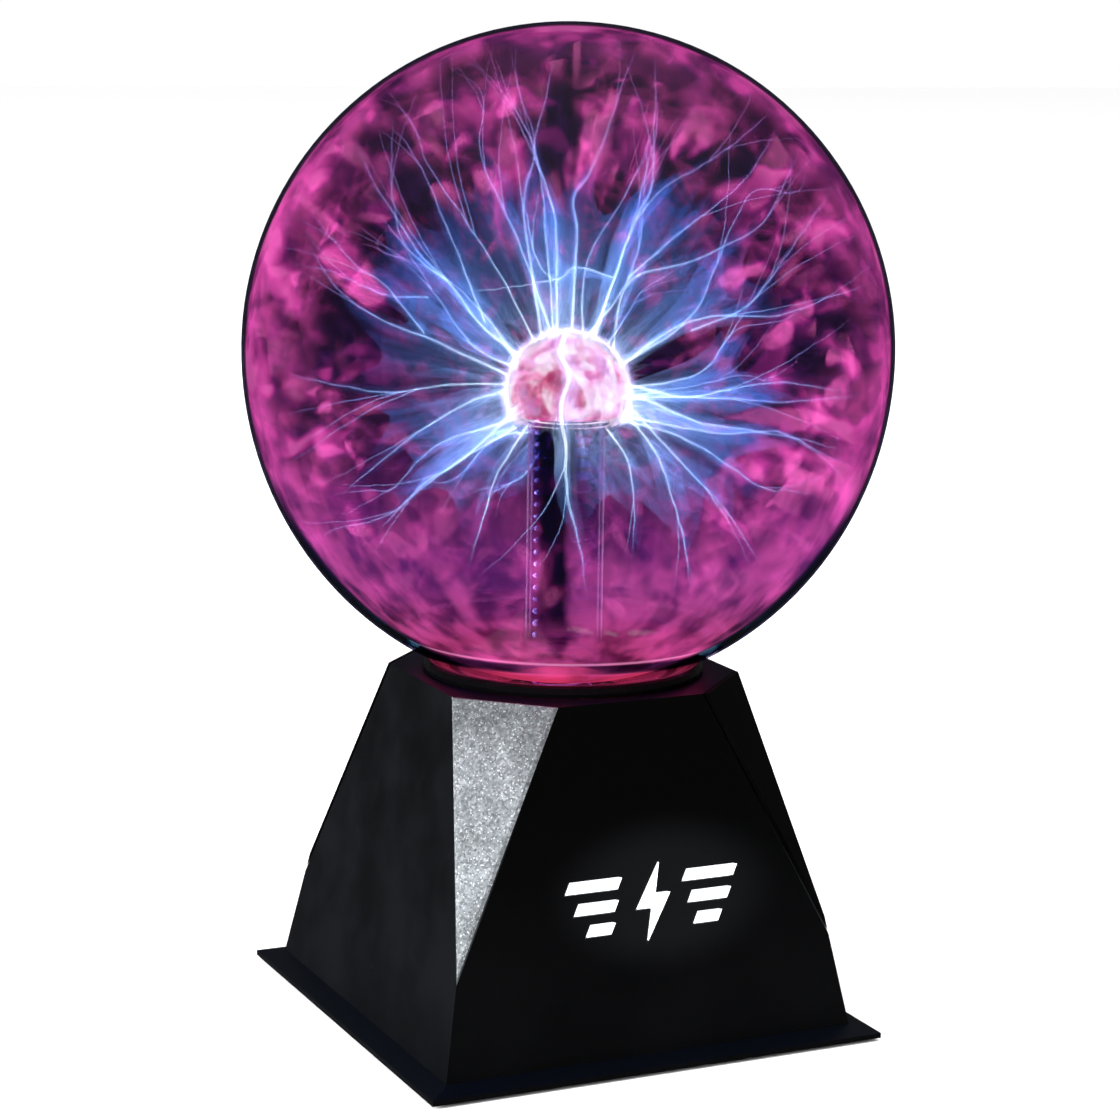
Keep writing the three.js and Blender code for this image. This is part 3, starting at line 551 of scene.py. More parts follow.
def lower_gas(look):
    """Upright pink puffs over violet, redder towards the foot."""
    place, height = look.place(), look.height()
    upright = look.shifted(look.vector("MULTIPLY", place, (92.0, 92.0, 20.0)), look.scaled(place, 26.0), 0.9)
    streaks = look.span(look.noise(upright, 1.0, 2.4), 0.34, 0.66)
    aside = sideways(look, from_middle(look), 0.92, 0.66, 0.55, 1.0)
    gap = stem_gap(look)
    streaks = look.times(streaks, aside, look.inverse(gap))
    gaps = look.mix(look.span(height, 0.158, 0.126), (0.080, 0.009, 0.125), (0.050, 0.004, 0.030))
    gaps = look.mix(gap, gaps, (0.006, 0.002, 0.014))
    puffs = look.mix(look.span(height, 0.150, 0.118), (0.47, 0.060, 0.30), (0.56, 0.060, 0.23))
    return look.mix(streaks, gaps, puffs)


def cloud_material(name, scale, shift):
    """Soft pink clouds where the streamers spread out before the wall."""
    look = Look(name)
    offset, _, direction = from_dome(look)
    bent = look.shifted(fanned(look, offset, scale, 22.0), look.scaled(direction, 4.0), 0.9)
    puffs = look.noise(look.vector("ADD", bent, (shift, 7.7, 1.9)), 1.0, 1.4, 0.45)
    colour = look.ramp(
        look.span(puffs, 0.52, 0.68),
        (0.0, (0.0, 0.0, 0.0)), (0.3, (0.012, 0.001, 0.015)),
        (0.65, (0.20, 0.010, 0.11)), (1.0, (0.62, 0.09, 0.33)),
    )
    aside = look.times(sideways(look, direction, 0.92, 0.55, 0.24, 1.0), above_foot(look))
    aside = look.times(aside, sideways(look, from_middle(look), 0.10, 0.34, 0.15, 1.0))
    return look.gas_light(colour, look.times(aside, outside_gaps(look, offset), 0.80))


def plume_material():
    """Pink plumes in the outer half of the globe, drawn out along the rays from the dome."""
    look = Look("plume_glow")
    offset, distance, direction = from_dome(look)
    where = look.vector("ADD", look.scaled(direction, 3.6), look.scaled(offset, 42.0))
    blots = look.span(look.noise(where, 1.0, 1.5, 0.45), 0.54, 0.68)
    colour = look.ramp(
        look.times(blots, look.span(distance, 0.046, 0.084)),
        (0.0, (0.0, 0.0, 0.0)), (0.25, (0.030, 0.002, 0.028)),
        (0.6, (0.22, 0.012, 0.12)), (0.85, (0.50, 0.05, 0.24)),
        (1.0, (0.75, 0.14, 0.40)),
    )
    aside = look.times(sideways(look, direction, 0.85, 0.45, 0.14, 1.0), above_foot(look))
    return look.gas_light(colour, look.times(aside, outside_gaps(look, offset), 0.29))


def rim_material():
    """A pink glow that thickens towards the globe's wall."""
    look = Look("rim_glow")
    offset = look.away_from(GLOBE_CENTRE)
    rise = look.node("SeparateXYZ", "Z", {0: offset})
    rise = look.math("MAXIMUM", rise, look.math("DIVIDE", rise, STRETCH))
    flat = look.vector("MULTIPLY", offset, (1, 1, 0))
    rounded = look.vector("ADD", flat, look.node("CombineXYZ", 0, {2: rise}))
    near_wall = look.span(look.length(rounded), 0.0915, 0.0986)
    offset = from_dome(look)[0]
    cloud = look.span(look.noise(fanned(look, offset, 3.6, 25.0)), 0.42, 0.60, 0.04, 1.35)
    amount = look.times(near_wall, outside_gaps(look, offset), look.inverse(stem_gap(look)), cloud)
    return look.gas_light(look.scaled((0.42, 0.045, 0.215), amount), 0.105)


def veil_material():
    """Thin blue veils between the streamers, brightest near the dome."""
    look = Look("veil_glow")
    _, distance, direction = from_dome(look)
    colour = look.ramp(
        look.span(distance, 0.018, 0.105, smooth=False),
        (0.0, (0.35, 0.50, 0.80)), (0.2, (0.12, 0.235, 0.56)),
        (0.5, (0.032, 0.090, 0.36)), (0.8, (0.012, 0.021, 0.14)),
        (1.0, (0.0, 0.0, 0.0)),
    )
    ragged = look.math("ADD", distance, look.times(look.noise(direction, 7.0, 3.0, 0.6), 0.055))
    torn = look.span(ragged, 0.106, 0.090)
    fibres = look.span(look.noise(look.scaled(direction, 16.0), 1.0, 3.0, 0.6), 0.30, 0.75, 0.35, 1.0)
    folds = look.span(look.noise(look.scaled(direction, 3.0)), 0.35, 0.62, 0.1, 1.0)
    return look.gas_light(colour, look.times(fibres, folds, torn, 0.56))


def streamer_material(name, stops, strength):
    """A colour that changes with the distance from the dome, and that fades out low in the globe."""
    look = Look(name)
    distance = from_dome(look)[1]
    colour = look.ramp(look.span(distance, 0.019, 0.105, smooth=False), *stops)
    return look.gas_light(colour, look.span(look.height(), *STREAMER_FADE, 0.0, strength))


# Streamers seen from the front: points across and up from the middle of the dome, in millimetres,
# and how far their tips lean towards the front (1) or the rear (-1).
STREAMERS = [
    (1.0, 0.5, [(-8, 16.5), (-13.5, 48), (-14, 62), (-11.7, 75), (-20, 92), (-25, 104)]),
    (1.0, 0.3, [(-3.5, 18), (-4.3, 48), (-6.8, 62), (-11.7, 75), (-8, 90), (-5, 106)]),
    (1.1, 0.4, [(1, 19), (2.2, 48), (0.9, 60), (6.8, 70), (15.4, 95), (20.3, 109)]),
    (1.2, 0.6, [(8, 17), (13.5, 35), (20.3, 54), (25, 66), (25.5, 88), (25, 107)]),
    (0.7, -0.6, [(20.3, 54), (28.9, 64), (45, 74), (62, 88)]),
    (0.8, 0.9, [(13.5, 13), (18.2, 34), (38, 41), (56, 50), (62, 58), (70, 76)]),
    (0.7, -0.5, [(18, 36), (35, 51), (51, 64), (59, 75), (64, 84)]),
    (0.9, 0.6, [(16.6, 9), (38, 23), (65, 25), (92, 35)]),
    (0.8, -0.7, [(38, 20), (55, 28), (67, 44), (81, 65)]),
    (1.0, 0.8, [(19, -1), (24, -2), (41, -9), (60, -12), (82, -17)]),
    (0.9, 0.5, [(17.5, -6), (26.5, -17), (32, -31), (36, -46), (38, -60)]),
    (0.8, 0.9, [(19, -4), (33.5, -20), (48, -36), (58, -52)]),
    (0.8, -0.6, [(19, 3), (38.5, 0), (63, 5), (90, 3)]),
    (1.0, 0.6, [(-15, 11), (-26.5, 20), (-37, 33), (-47, 43), (-60, 63), (-66, 76)]),
    (1.0, -0.4, [(-18, 5), (-27, 9.5), (-44, 17), (-51, 19.5), (-69, 29), (-82, 46)]),
    (0.9, 0.8, [(-18.8, 0), (-28, -3), (-41, -11), (-52, -20), (-66, -33)]),
    (0.9, 0.5, [(-16, -6), (-30, -20), (-44, -30), (-56, -44)]),
    (
        1.7,
        1.0,
        [(-0.5, 18.6), (-2.5, 11), (0.5, 4), (-2, -5), (-0.5, -17), (0, -27), (2, -39), (5, -51), (7, -64)],
    ),
    (0.7, 0.7, [(-37, 33), (-46, 39), (-52, 48), (-54, 66), (-53, 80)]),
    (0.7, -0.5, [(-26, 22), (-36, 46), (-42, 60), (-50, 76), (-58, 84)]),
    (0.7, 0.6, [(-44, 17), (-56, 31), (-66, 38), (-78, 52)]),
    (0.6, -0.8, [(-44, 30), (-58, 31), (-74, 38), (-86, 41)]),
    (0.6, 0.2, [(13.5, 35), (2, 38), (-4, 34), (-10, 40), (-14, 56)]),
    (0.6, 0.4, [(-18, 2), (-34, 2), (-58, -1), (-86, 4)]),
    (0.6, -0.9, [(12, -10), (20, -22), (22, -44), (20, -62)]),
    (0.6, -0.7, [(-12, -10), (-22, -26), (-28, -46), (-34, -62)]),
]


def streamer_paths(rng):
    """Every streamer as (width, path), the front ones first and then those that fill the other sides."""
    paths = []
    reach = GLOBE_RADIUS - GLASS_WALL - 2.5 * MM
    for width, lean, points in STREAMERS:
        tip = DOME_CENTRE + (ACROSS * points[-1][0] + RISE * points[-1][1]) * MM
        flat = tip - GLOBE_CENTRE
        flat -= TOWARDS * flat.dot(TOWARDS)
        depth = lean * math.sqrt(max(0.0, reach**2 - flat.length_squared))
        last = math.hypot(*points[-1])
        route = []
        for across, rise in points:
            share = math.hypot(across, rise) / last
            offset = (ACROSS * across + RISE * rise) * MM + TOWARDS * (depth * share**1.2)
            if offset.length < DOME_RADIUS:
                offset += TOWARDS * math.sqrt(DOME_RADIUS**2 - offset.length_squared)
            route.append(DOME_CENTRE + offset)
        paths.append((width, wander(smooth_path(route, 40), rng, 0.5 * MM)))
    made = 0
    while made < 20:
        direction = Vector((rng.gauss(0, 1), rng.gauss(0, 1), rng.gauss(0.15, 0.8))).normalized()
        if direction.z < -0.72 or direction.dot(TOWARDS) > 0.45:
            continue
        made += 1
        paths.append((rng.uniform(0.5, 0.8), wander(free_route(direction, reach, rng), rng, 0.6 * MM)))
    return paths


def free_route(direction, reach, rng):
    """A streamer's path from the dome towards the globe's wall, rising a little as warm gas does."""
    start = DOME_CENTRE + direction * DOME_RADIUS
    drift = Vector((rng.uniform(-0.2, 0.2), rng.uniform(-0.2, 0.2), rng.uniform(0.1, 0.4)))
    lifted = (direction + drift).normalized()
    from_centre = start - GLOBE_CENTRE
    along = from_centre.dot(lifted)
    length = -along + math.sqrt(max(0.0, along**2 - from_centre.length_squared + reach**2))
    end = start + lifted * length
    route = [start]
    for share in (0.3, 0.6, 0.85):
        sway = Vector(scatter(rng)) * 3.5 * MM
        route.append(start.lerp(end, share) + direction * (length * 0.18 * share * (1 - share) * 2) + sway)
    route.append(end)
    return smooth_path(route, 40)


def wander(path, rng, amount):
    """Small bends along a path, none at its start."""
    path = np.array(path)
    share = np.linspace(0, 1, len(path))
    for axis in range(3):
        for waves in (3, 7):
            phase = rng.uniform(0, 2 * math.pi)
            wave = np.sin(waves * 2 * math.pi * share + phase)
            path[:, axis] += amount / waves**0.5 * wave * np.sqrt(share) * 0.7
    return path


def keep_inside(path, reach):
    """Pulls points that pass the globe's wall back to it."""
    centre = np.array(GLOBE_CENTRE)
    offset = path - centre
    far = np.linalg.norm(offset, axis=1)
    scale = np.minimum(1, reach / np.maximum(far, 1e-9))
    return centre + offset * scale[:, None]


def branches(path, rng, count):
    """Side branches that leave the outer part of a path and drift away from it."""
    made = []
    total = len(path)
    for _ in range(count):
        begin = rng.randint(int(total * 0.35), int(total * 0.8))
        heading = path[min(begin + 3, total - 1)] - path[begin - 2]
        heading /= np.linalg.norm(heading)
        side = scatter(rng)
        side -= heading * side.dot(heading)
        side /= np.linalg.norm(side)
        length = np.linalg.norm(path[-1] - path[begin]) * rng.uniform(0.7, 1.1) + 6 * MM
        spread = rng.uniform(0.25, 0.6)
        route = [path[begin]]
        for share in (0.35, 0.7, 1.0):
            route.append(path[begin] + heading * length * share + side * length * spread * share**1.4)
        made.append(wander(smooth_path(route, 20), rng, 0.4 * MM))
    return made


def tapered(count, start, end):
    """Radii from start to end, pointed at the far end."""
    share = np.linspace(0, 1, count)
    return (start + (end - start) * share) * np.clip((1 - share) * 8, 0.15, 1)


def scatter(rng):
    """Three random numbers about 0."""
    return np.array([rng.gauss(0, 1) for _ in range(3)])


def make_discharge():
    """The streamers with their branches, each in three layers of glow, and the veils between them."""
    rng = random.Random(SEED)
    reach = GLOBE_RADIUS - GLASS_WALL - 1.5 * MM
    core, sheath, halo, veils = Bundle(), Bundle(), Bundle(), Bundle()

    def draw(path, width, end_width):
        path = keep_inside(path, reach)
        radii = tapered(len(path), width, end_width)
        core.tube(path, radii, 5)
        sheath.tube(path, radii * 2.8, 7)
        if width >= 0.2 * MM:
            halo.tube(path, radii * 7.0, 7)

    streamers = streamer_paths(rng)
    for width, path in streamers:
        draw(path, 0.46 * MM * width, 0.16 * MM)
        for branch in branches(path, rng, rng.randint(1, 3)):
            draw(branch, 0.14 * MM, 0.07 * MM)
        for _ in range(2):
            veils.sheet(fin_grid(path, rng))
    ordered = [path for _, path in streamers]
    for i, path in enumerate(ordered):
        nearest = sorted(range(len(ordered)), key=lambda k: np.linalg.norm(ordered[k][18] - path[18]))
        for k in nearest[1:4]:
            if k > i:
                veils.sheet(veil_grid(path, ordered[k], rng))
    core_stops = [
        (0.0, (1.0, 1.0, 1.0)), (0.15, (0.66, 0.84, 1.0)),
        (0.42, (0.28, 0.45, 0.80)), (0.7, (0.22, 0.20, 0.42)),
        (1.0, (0.22, 0.08, 0.24)),
    ]
    glow_stops = [
        (0.0, (0.35, 0.55, 0.88)), (0.3, (0.08, 0.20, 0.50)),
        (0.6, (0.03, 0.06, 0.26)), (1.0, (0.05, 0.01, 0.07)),
    ]
    piece(core.make("discharge_core"), streamer_material("streamer_core", core_stops, 0.31))
    piece(sheath.make("discharge_sheath"), streamer_material("streamer_sheath", glow_stops, 0.10))
    piece(halo.make("discharge_halo"), streamer_material("streamer_halo", glow_stops, 0.040))
    piece(veils.make("discharge_veils"), veil_material())


def fin_grid(path, rng):
    """A narrow twisted veil with one edge on a streamer, widest in its middle."""
    rows, columns = 26, 5
    last = rng.randint(16, 28)
    first_side = np.cross(path[last] - path[0], scatter(rng))
    first_side /= np.linalg.norm(first_side)
    other = np.cross(path[last] - path[0], first_side)
    other /= np.linalg.norm(other)
    twist = rng.uniform(-1.6, 1.6)
    width = rng.uniform(6, 13) * MM
    grid = np.zeros((rows, columns, 3))
    for i in range(rows):
        share = i / (rows - 1)
        side = first_side * math.cos(twist * share) + other * math.sin(twist * share)
        wide = width * (share * (1 - 0.75 * share)) * 1.6
        for j in range(columns):
            grid[i, j] = between(path, last * share) + side * wide * j / (columns - 1)
    return grid


def between(path, k):
    """The point at place k along a path, where k need not be whole."""
    low = int(k)
    share = k - low
    return path[low] * (1 - share) + path[min(low + 1, len(path) - 1)] * share


def make_corona():
    """The glow that clings to the dome, and short discharges that stand on it."""
    rng = random.Random(SEED + 2)
    radii = [DOME_RADIUS + step * MM for step in (0.15, 0.9, 1.8, 3.0)]
    aura = ring_bundle(rng, 64, DOME_CENTRE, radii, 61).make("dome_aura")
    look = Look("dome_aura")
    offset, distance, _ = from_dome(look)
    colour = look.ramp(
        look.span(distance, 0.0191, 0.0222, smooth=False),
        (0.0, (1.0, 0.90, 0.92)), (0.3, (0.42, 0.36, 0.48)),
        (0.65, (0.08, 0.10, 0.24)), (1.0, (0.0, 0.0, 0.0)),
    )
    above = look.span(look.node("SeparateXYZ", "Z", {0: offset}), -0.0100, -0.0075)
    piece(aura, look.gas_light(colour, look.times(above, 0.085)))
    bundle = Bundle()
    made = 0
    while made < 240:
        direction = scatter(rng)
        direction /= np.linalg.norm(direction)
        if direction[2] < -0.3:
            continue
        made += 1
        lean = scatter(rng) * 0.25
        start = np.array(DOME_CENTRE) + direction * DOME_RADIUS
        length = rng.uniform(4, 13) * MM
        steps = [start + (direction + lean * t) * length * t for t in (0, 0.3, 0.65, 1)]
        bundle.tube(steps, [0.5 * MM, 0.4 * MM, 0.22 * MM, 0.05 * MM], 5)
    stops = [(0.0, (0.8, 0.75, 0.95)), (0.06, (0.4, 0.5, 0.85))]
    stops += [(0.18, (0.08, 0.15, 0.45)), (0.4, (0.0, 0.0, 0.05))]
    piece(bundle.make("corona"), streamer_material("corona", stops, 0.045))


def ring_bundle(rng, count, centre, radii, columns, lift=None):
    """Flat rings about a centre at every tilt, gently waved, that stack up where a ball's edge is seen."""
    bundle = Bundle()
    for _ in range(count):
        normal = Vector(scatter(rng)).normalized()
        first = normal.orthogonal().normalized()
        second = normal.cross(first)
        phase = rng.uniform(0, 2 * math.pi)
        grid = np.zeros((len(radii), columns, 3))
        for j in range(columns):
            angle = 2 * math.pi * j / (columns - 1)
            wave = normal * 0.08 * math.sin(5 * angle + phase)
            ray = (first * math.cos(angle) + second * math.sin(angle) + wave).normalized()
            for i, radius in enumerate(radii):
                grid[i, j] = centre + ray * (radius - (lift(ray) if lift else 0))
        bundle.sheet(grid)
    return bundle


def veil_grid(a, b, rng):
    """A sheet between two streamers, slack between them and ragged at its outer edge."""
    rows, columns = 24, 9
    last = rng.randint(20, 34)
    grid = np.zeros((rows, columns, 3))
    centre = np.array(DOME_CENTRE)
    for i in range(rows):
        for j in range(columns):
            share = j / (columns - 1)
            sag = 1 - 0.35 * math.sin(math.pi * share) * (i / (rows - 1))
            k = last * i / (rows - 1) * sag
            on_a, on_b = between(a, k), between(b, k)
            offset = on_a * (1 - share) + on_b * share - centre
            length = max(np.linalg.norm(offset), 1e-6)
            wanted = np.linalg.norm(on_a - centre) * (1 - share) + np.linalg.norm(on_b - centre) * share
            grid[i, j] = centre + offset / length * max(wanted, DOME_RADIUS * 1.01)
    return grid


def make_plumes():
    """Wavy membranes through the dome's middle that carry the pink plumes out to the wall."""
    rng = random.Random(SEED + 1)
    bundle = Bundle()
    reach = GLOBE_RADIUS - GLASS_WALL - 2 * MM
    rows, columns = 14, 73
    near = 32 * MM
    start = DOME_CENTRE - GLOBE_CENTRE
    for _ in range(6):
        normal = Vector((rng.gauss(0, 1), rng.gauss(0, 1), rng.gauss(0, 0.7))).normalized()
        first = normal.orthogonal().normalized()
        second = normal.cross(first)
        phases = [rng.uniform(0, 2 * math.pi) for _ in range(3)]
        grid = np.zeros((rows, columns, 3))
        for j in range(columns):
            angle = 2 * math.pi * j / (columns - 1)
            tilt = sum(0.10 * math.sin((n + 2) * angle + p) for n, p in enumerate(phases))
            ray = (first * math.cos(angle) + second * math.sin(angle) + normal * tilt).normalized()
            along = start.dot(ray)
            far = -along + math.sqrt(along**2 - start.length_squared + reach**2)
            for i in range(rows):
                grid[i, j] = DOME_CENTRE + ray * (near + (far - near) * i / (rows - 1))
        bundle.sheet(grid)
    piece(bundle.make("discharge_plumes"), plume_material())


def make_rim():
    """Many faint rings of glow behind the wall, which add up where the wall is seen edge on."""
    rng = random.Random(SEED + 3)
    outer = GAS_RADIUS - 0.6 * MM
    radii = [outer - step * MM for step in (0, 3, 6, 9)]

    def lift(ray):
        return GAS_LIFT * min(1.0, max(0.0, -ray.z - 0.3) * 2)

    rim = ring_bundle(rng, 90, GLOBE_CENTRE, radii, 91, lift).make("rim_glow")
    stretch_low(rim)
    piece(rim, rim_material())


def make_clouds():
    """A second layer of clouds inside the wall, gently uneven."""
    name, shift = "clouds_outer", 3.1
    clouds = revolve(name, arc(87 * MM, GLOBE_CENTRE.z, 0.02, math.radians(155), 48), 96)
    for vertex in clouds.data.vertices:
        ray = (vertex.co - GLOBE_CENTRE).normalized()
        vertex.co += ray * (noise.noise(ray * 3.5 + Vector((shift, 0, 0))) * 8 * MM)
    stretch_low(clouds)
    piece(clouds, cloud_material(name, 5.0, shift))


def make_gas_glow():
    """The skin of gas behind the glass, which draws in a little towards the neck."""
    neck = NECK_RADIUS - GLASS_WALL - 0.6 * MM
    end = math.pi - math.asin(neck / GAS_RADIUS)
    steps = 64
    profile = []
    for i in range(steps + 1):
        angle = end * i / steps
        lift = min(1.0, max(0.0, (angle - math.radians(112)) / math.radians(36)))
        radius = GAS_RADIUS - GAS_LIFT * lift * lift * (3 - 2 * lift)
        rise = radius * math.cos(angle)
        profile.append((radius * math.sin(angle), GLOBE_CENTRE.z + rise * (STRETCH if rise < 0 else 1)))
    piece(revolve("gas_glow", profile, 128), gas_glow_material())


# ---- globe and electrode ----


def globe_glass_material():
    """Clear glass that darkens where it is seen edge on."""
    look = Look("globe_glass")
    edge = look.node("LayerWeight", "Facing", {"Blend": 0.5})
    height = look.height()
    low = look.span(height, GLOBE_CENTRE.z - 0.030, GLOBE_CENTRE.z - 0.060)
    thick = look.times(low, look.span(edge, 0.76, 0.81))
    start, end = DULL_BAND
    band = look.times(look.span(height, start, start + 0.0008), look.span(height, end, end - 0.0007))
    band = look.times(band, look.span(look.math("ABSOLUTE", look.across()), 0.004, 0.017, 0.15, 1.0))
    tint = look.mix(thick, (0.99, 0.99, 1), (0.09, 0.21, 0.28))
    tint = look.mix(band, tint, (0.30, 0.36, 0.42), "MULTIPLY")
    tint = look.mix(look.span(edge, 0.86, 0.90), tint, (0.10, 0.09, 0.16))
    tint = look.mix(look.span(height, start + 0.0002, start - 0.0006), tint, (0.92, 0.80, 0.84))
    clear = look.node("BsdfTransparent", inputs={"Color": tint})
    smear = look.span(look.noise(look.place(), 30.0, 3.0, 0.6), 0.3, 0.8, 0.02, 0.06)
    gloss = look.node("BsdfGlossy", inputs={"Color": WHITE, "Roughness": smear})
    shine = look.math("ADD", look.times(look.math("POWER", edge, 5.0), 0.18), 0.014)
    return look.show(look.node("MixShader", inputs={0: shine, 1: clear, 2: gloss}))


def make_globe():
    """The glass, in its true outer shape, with a thinner wall than the CAD model's for a fine outline."""
    inner = GLOBE_RADIUS - SEEN_WALL
    neck_inner = NECK_RADIUS - GLASS_WALL
    outside = globe_arc(0, 0, math.pi - math.asin(NECK_RADIUS / GLOBE_RADIUS), 72)
    inside = globe_arc(-SEEN_WALL, math.pi - math.asin(neck_inner / inner), 0, 72)
    lip = [(NECK_RADIUS, NECK_BOTTOM + 0.5 * MM), (NECK_RADIUS - 0.9 * MM, NECK_BOTTOM)]
    lip.append((neck_inner, NECK_BOTTOM + 0.5 * MM))
    piece(revolve("globe", outside + lip + inside, 160), globe_glass_material(), "glass", "glass_globe")


def electrode_glass_material():
    """Clear glass, violet in the stem and tinted darker over the stem's left half as painted shade, with a
    painted glow given off along its edges, whiter on the dome.
    """
    look = Look("electrode_glass")
    ripple = look.times(look.math("SUBTRACT", look.noise(look.place(), 60.0), 0.5), 0.006)
    bent = look.math("ADD", look.across(), ripple)
    # Painted shade: the glass is tinted darker over the stem's left half, higher up.
    dark = look.times(look.span(bent, 0.0045, 0.0), look.span(bent, -0.0102, -0.0082))
    dark = look.times(dark, look.span(look.height(), 0.112, 0.138))
    stem = look.mix(dark, (0.80, 0.74, 0.92), (0.20, 0.22, 0.42))
    up = look.span(look.height(), DOME_CENTRE.z - 0.0100, DOME_CENTRE.z - 0.0080)
    clear = look.node("BsdfTransparent", inputs={"Color": look.mix(up, stem, (0.97, 0.95, 1))})
    # Painted glow: pale light given off along the glass's edges, whiter on the dome.
    pale = look.through_gas(look.mix(up, (0.30, 0.17, 0.36), (1.0, 0.82, 0.90)))
    glow = look.node("Emission", inputs={"Color": pale, "Strength": 1.0})
    edge = look.span(look.node("LayerWeight", "Facing", {"Blend": 0.5}), 0.64, 0.86)
    shine = look.times(edge, look.span(look.height(), 0.116, 0.124, 0.0, 0.5))
    look.mat.cycles.emission_sampling = "NONE"
    return look.show(look.node("MixShader", inputs={0: shine, 1: clear, 2: glow}))


def make_electrode():
    """The domed glass electrode: a flat bottomed dome on a hollow stem with a spread foot."""
    centre = DOME_CENTRE.z
    corner = 2 * MM
    rim = math.acos((UNDERSIDE + corner - centre) / DOME_RADIUS)
    rim_inner = math.acos((UNDERSIDE + corner - centre) / (DOME_RADIUS - STEM_WALL))
    outer_r, inner_r = DOME_RADIUS * math.sin(rim), (DOME_RADIUS - STEM_WALL) * math.sin(rim_inner)
    outside = arc(DOME_RADIUS, centre, 0, rim, 40)
    for i in range(1, 7):
        angle = math.pi / 2 * i / 6
        inward, up = 1 - math.cos(angle), 1 - math.sin(angle)
        outside.append((outer_r - corner * inward, UNDERSIDE + corner * up))
    outside += [(STEM_RADIUS + 1.5 * MM, UNDERSIDE), (STEM_RADIUS, UNDERSIDE - 1.5 * MM)]
    outside += [(STEM_RADIUS, NECK_BOTTOM + 9.4 * MM), (STEM_RADIUS + 1.6 * MM, NECK_BOTTOM + 6.4 * MM)]
    foot = NECK_RADIUS - GLASS_WALL - 0.3 * MM
    outside += [(foot, NECK_BOTTOM + 3.9 * MM), (foot, NECK_BOTTOM + 2.4 * MM)]
    inner_stem = STEM_RADIUS - STEM_WALL
    inside = [(foot - 3 * MM, NECK_BOTTOM + 2.4 * MM), (inner_stem, NECK_BOTTOM + 5.4 * MM)]
    inside += [(inner_stem, UNDERSIDE), (inner_stem + 1.2 * MM, UNDERSIDE + STEM_WALL)]
    inside += [(inner_r - 1.5 * MM, UNDERSIDE + STEM_WALL)]
    inside += arc(DOME_RADIUS - STEM_WALL, centre, rim_inner, 0, 40)
    glass = revolve("electrode", outside + inside, 96)
    piece(glass, electrode_glass_material(), "glass", "electrode_glass")


def make_lining():
    """The thin metal lining inside the dome, a little crinkled."""
    centre = DOME_CENTRE.z
    outer = DOME_RADIUS - STEM_WALL - 0.3 * MM
    reach = math.acos((UNDERSIDE + STEM_WALL + 1 * MM - centre) / outer)
    profile = arc(outer, centre, 0, reach, 60) + arc(outer - 0.8 * MM, centre, reach, 0, 30)
    lining = revolve("dome_lining", profile, 144)
    crinkle(lining, 0.35 * MM)
    piece(lining, dome_lining_material(), "lining", "electrode_lining")


def make_spring():
    """The contact spring that runs up the stem."""
    low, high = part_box("contact_spring")
    wire = 0.45 * MM
    radius = high.x - wire
    bottom, top = low.z + wire, high.z - wire
    turns = round((top - bottom) / SPRING_PITCH)
    count = turns * 28
    path = []
    for i in range(count + 1):
        angle = 2 * math.pi * turns * i / count
        path.append((radius * math.cos(angle), radius * math.sin(angle), bottom + (top - bottom) * i / count))
    coil = Bundle()
    coil.tube(path, [wire] * len(path), 8)
    piece(coil.make("contact_coil"), spring_material(), "steel", "contact_spring")


def crinkle(obj, amount):
    """Presses the surface in by small folds, as thin metal has."""
    for vertex in obj.data.vertices:
        ray = (vertex.co - DOME_CENTRE).normalized()
        fold = noise.noise(ray * 4.2) * 0.6 + noise.noise(ray * 9.5) * 0.4
        vertex.co -= ray * amount * abs(fold) * 2


def dome_lining_material():
    """Thin metal, mottled pink by the discharge that stands on it; the discharge's glow is painted on as
    light given off by the metal.
    """
    look = Look("dome_lining")
    direction = from_dome(look)[2]
    bent = look.shifted(look.scaled(direction, 1.7), look.scaled(direction, 2.4), 1.1)
    # Painted glow: the discharge's mottled pink light, given off by the metal itself.
    tone = look.ramp(
        look.noise(bent, 1.25, 2.0, 0.45),
        (0.34, (0.40, 0.025, 0.10)), (0.44, (0.66, 0.09, 0.19)),
        (0.53, (0.82, 0.31, 0.40)), (0.62, (0.98, 0.78, 0.78)),
    )
    fine = look.noise(look.scaled(direction, 22.0), 1.0, 3.0, 0.6)
    return look.principled(
        Base_Color=(0.5, 0.5, 0.52),
        Metallic=1.0,
        Roughness=0.35,
        Normal=look.bump(fine, 0.4, 0.0004),
        Emission_Color=look.through_gas(tone),
        Emission_Strength=0.86,
    )


def spring_material():
    """Bright wire, with painted light given off by it along one side of the stem, where the gas light catches
    it.
    """
    look = Look("spring_wire")
    drawn = look.noise(look.vector("MULTIPLY", look.place(), (400, 400, 2500)), 1.0, 2.0, 0.6)
    # Painted light: the wire glows along the stem's left edge, above the neck.
    lit = look.times(look.span(look.across(), -0.0080, -0.0096), look.span(look.height(), 0.117, 0.122))
    return look.principled(
        Base_Color=look.mix(drawn, (0.16, 0.12, 0.22), (0.34, 0.28, 0.42)),
        Metallic=0.9,
        Roughness=look.span(drawn, 0.2, 0.8, 0.25, 0.45),
        Emission_Color=look.through_gas(look.scaled((0.34, 0.26, 0.52), lit)),
        Emission_Strength=4.0,
    )


# ---- the CAD nodes' finishes ----

SLOT_OF = {part["node"]: part["material_slot"] for part in frame["record"]["subparts"]}


def moulded(name, colour, rough, grain=2600.0, depth=0.00004, level=0.3):
    """Moulded plastic with a fine grain and a slightly uneven sheen."""
    look = Look(name)
    cloud = look.noise(look.place(), 26.0, 4.0, 0.6)
    light = tuple(c * 1.9 + 0.0008 for c in colour)
    return look.principled(
        Base_Color=look.mix(look.span(cloud, 0.3, 0.7), colour, light),
        Roughness=look.span(cloud, 0.3, 0.7, rough - 0.05, rough + 0.07),
        Normal=look.grain(grain, depth),
        Specular_IOR_Level=level,
    )


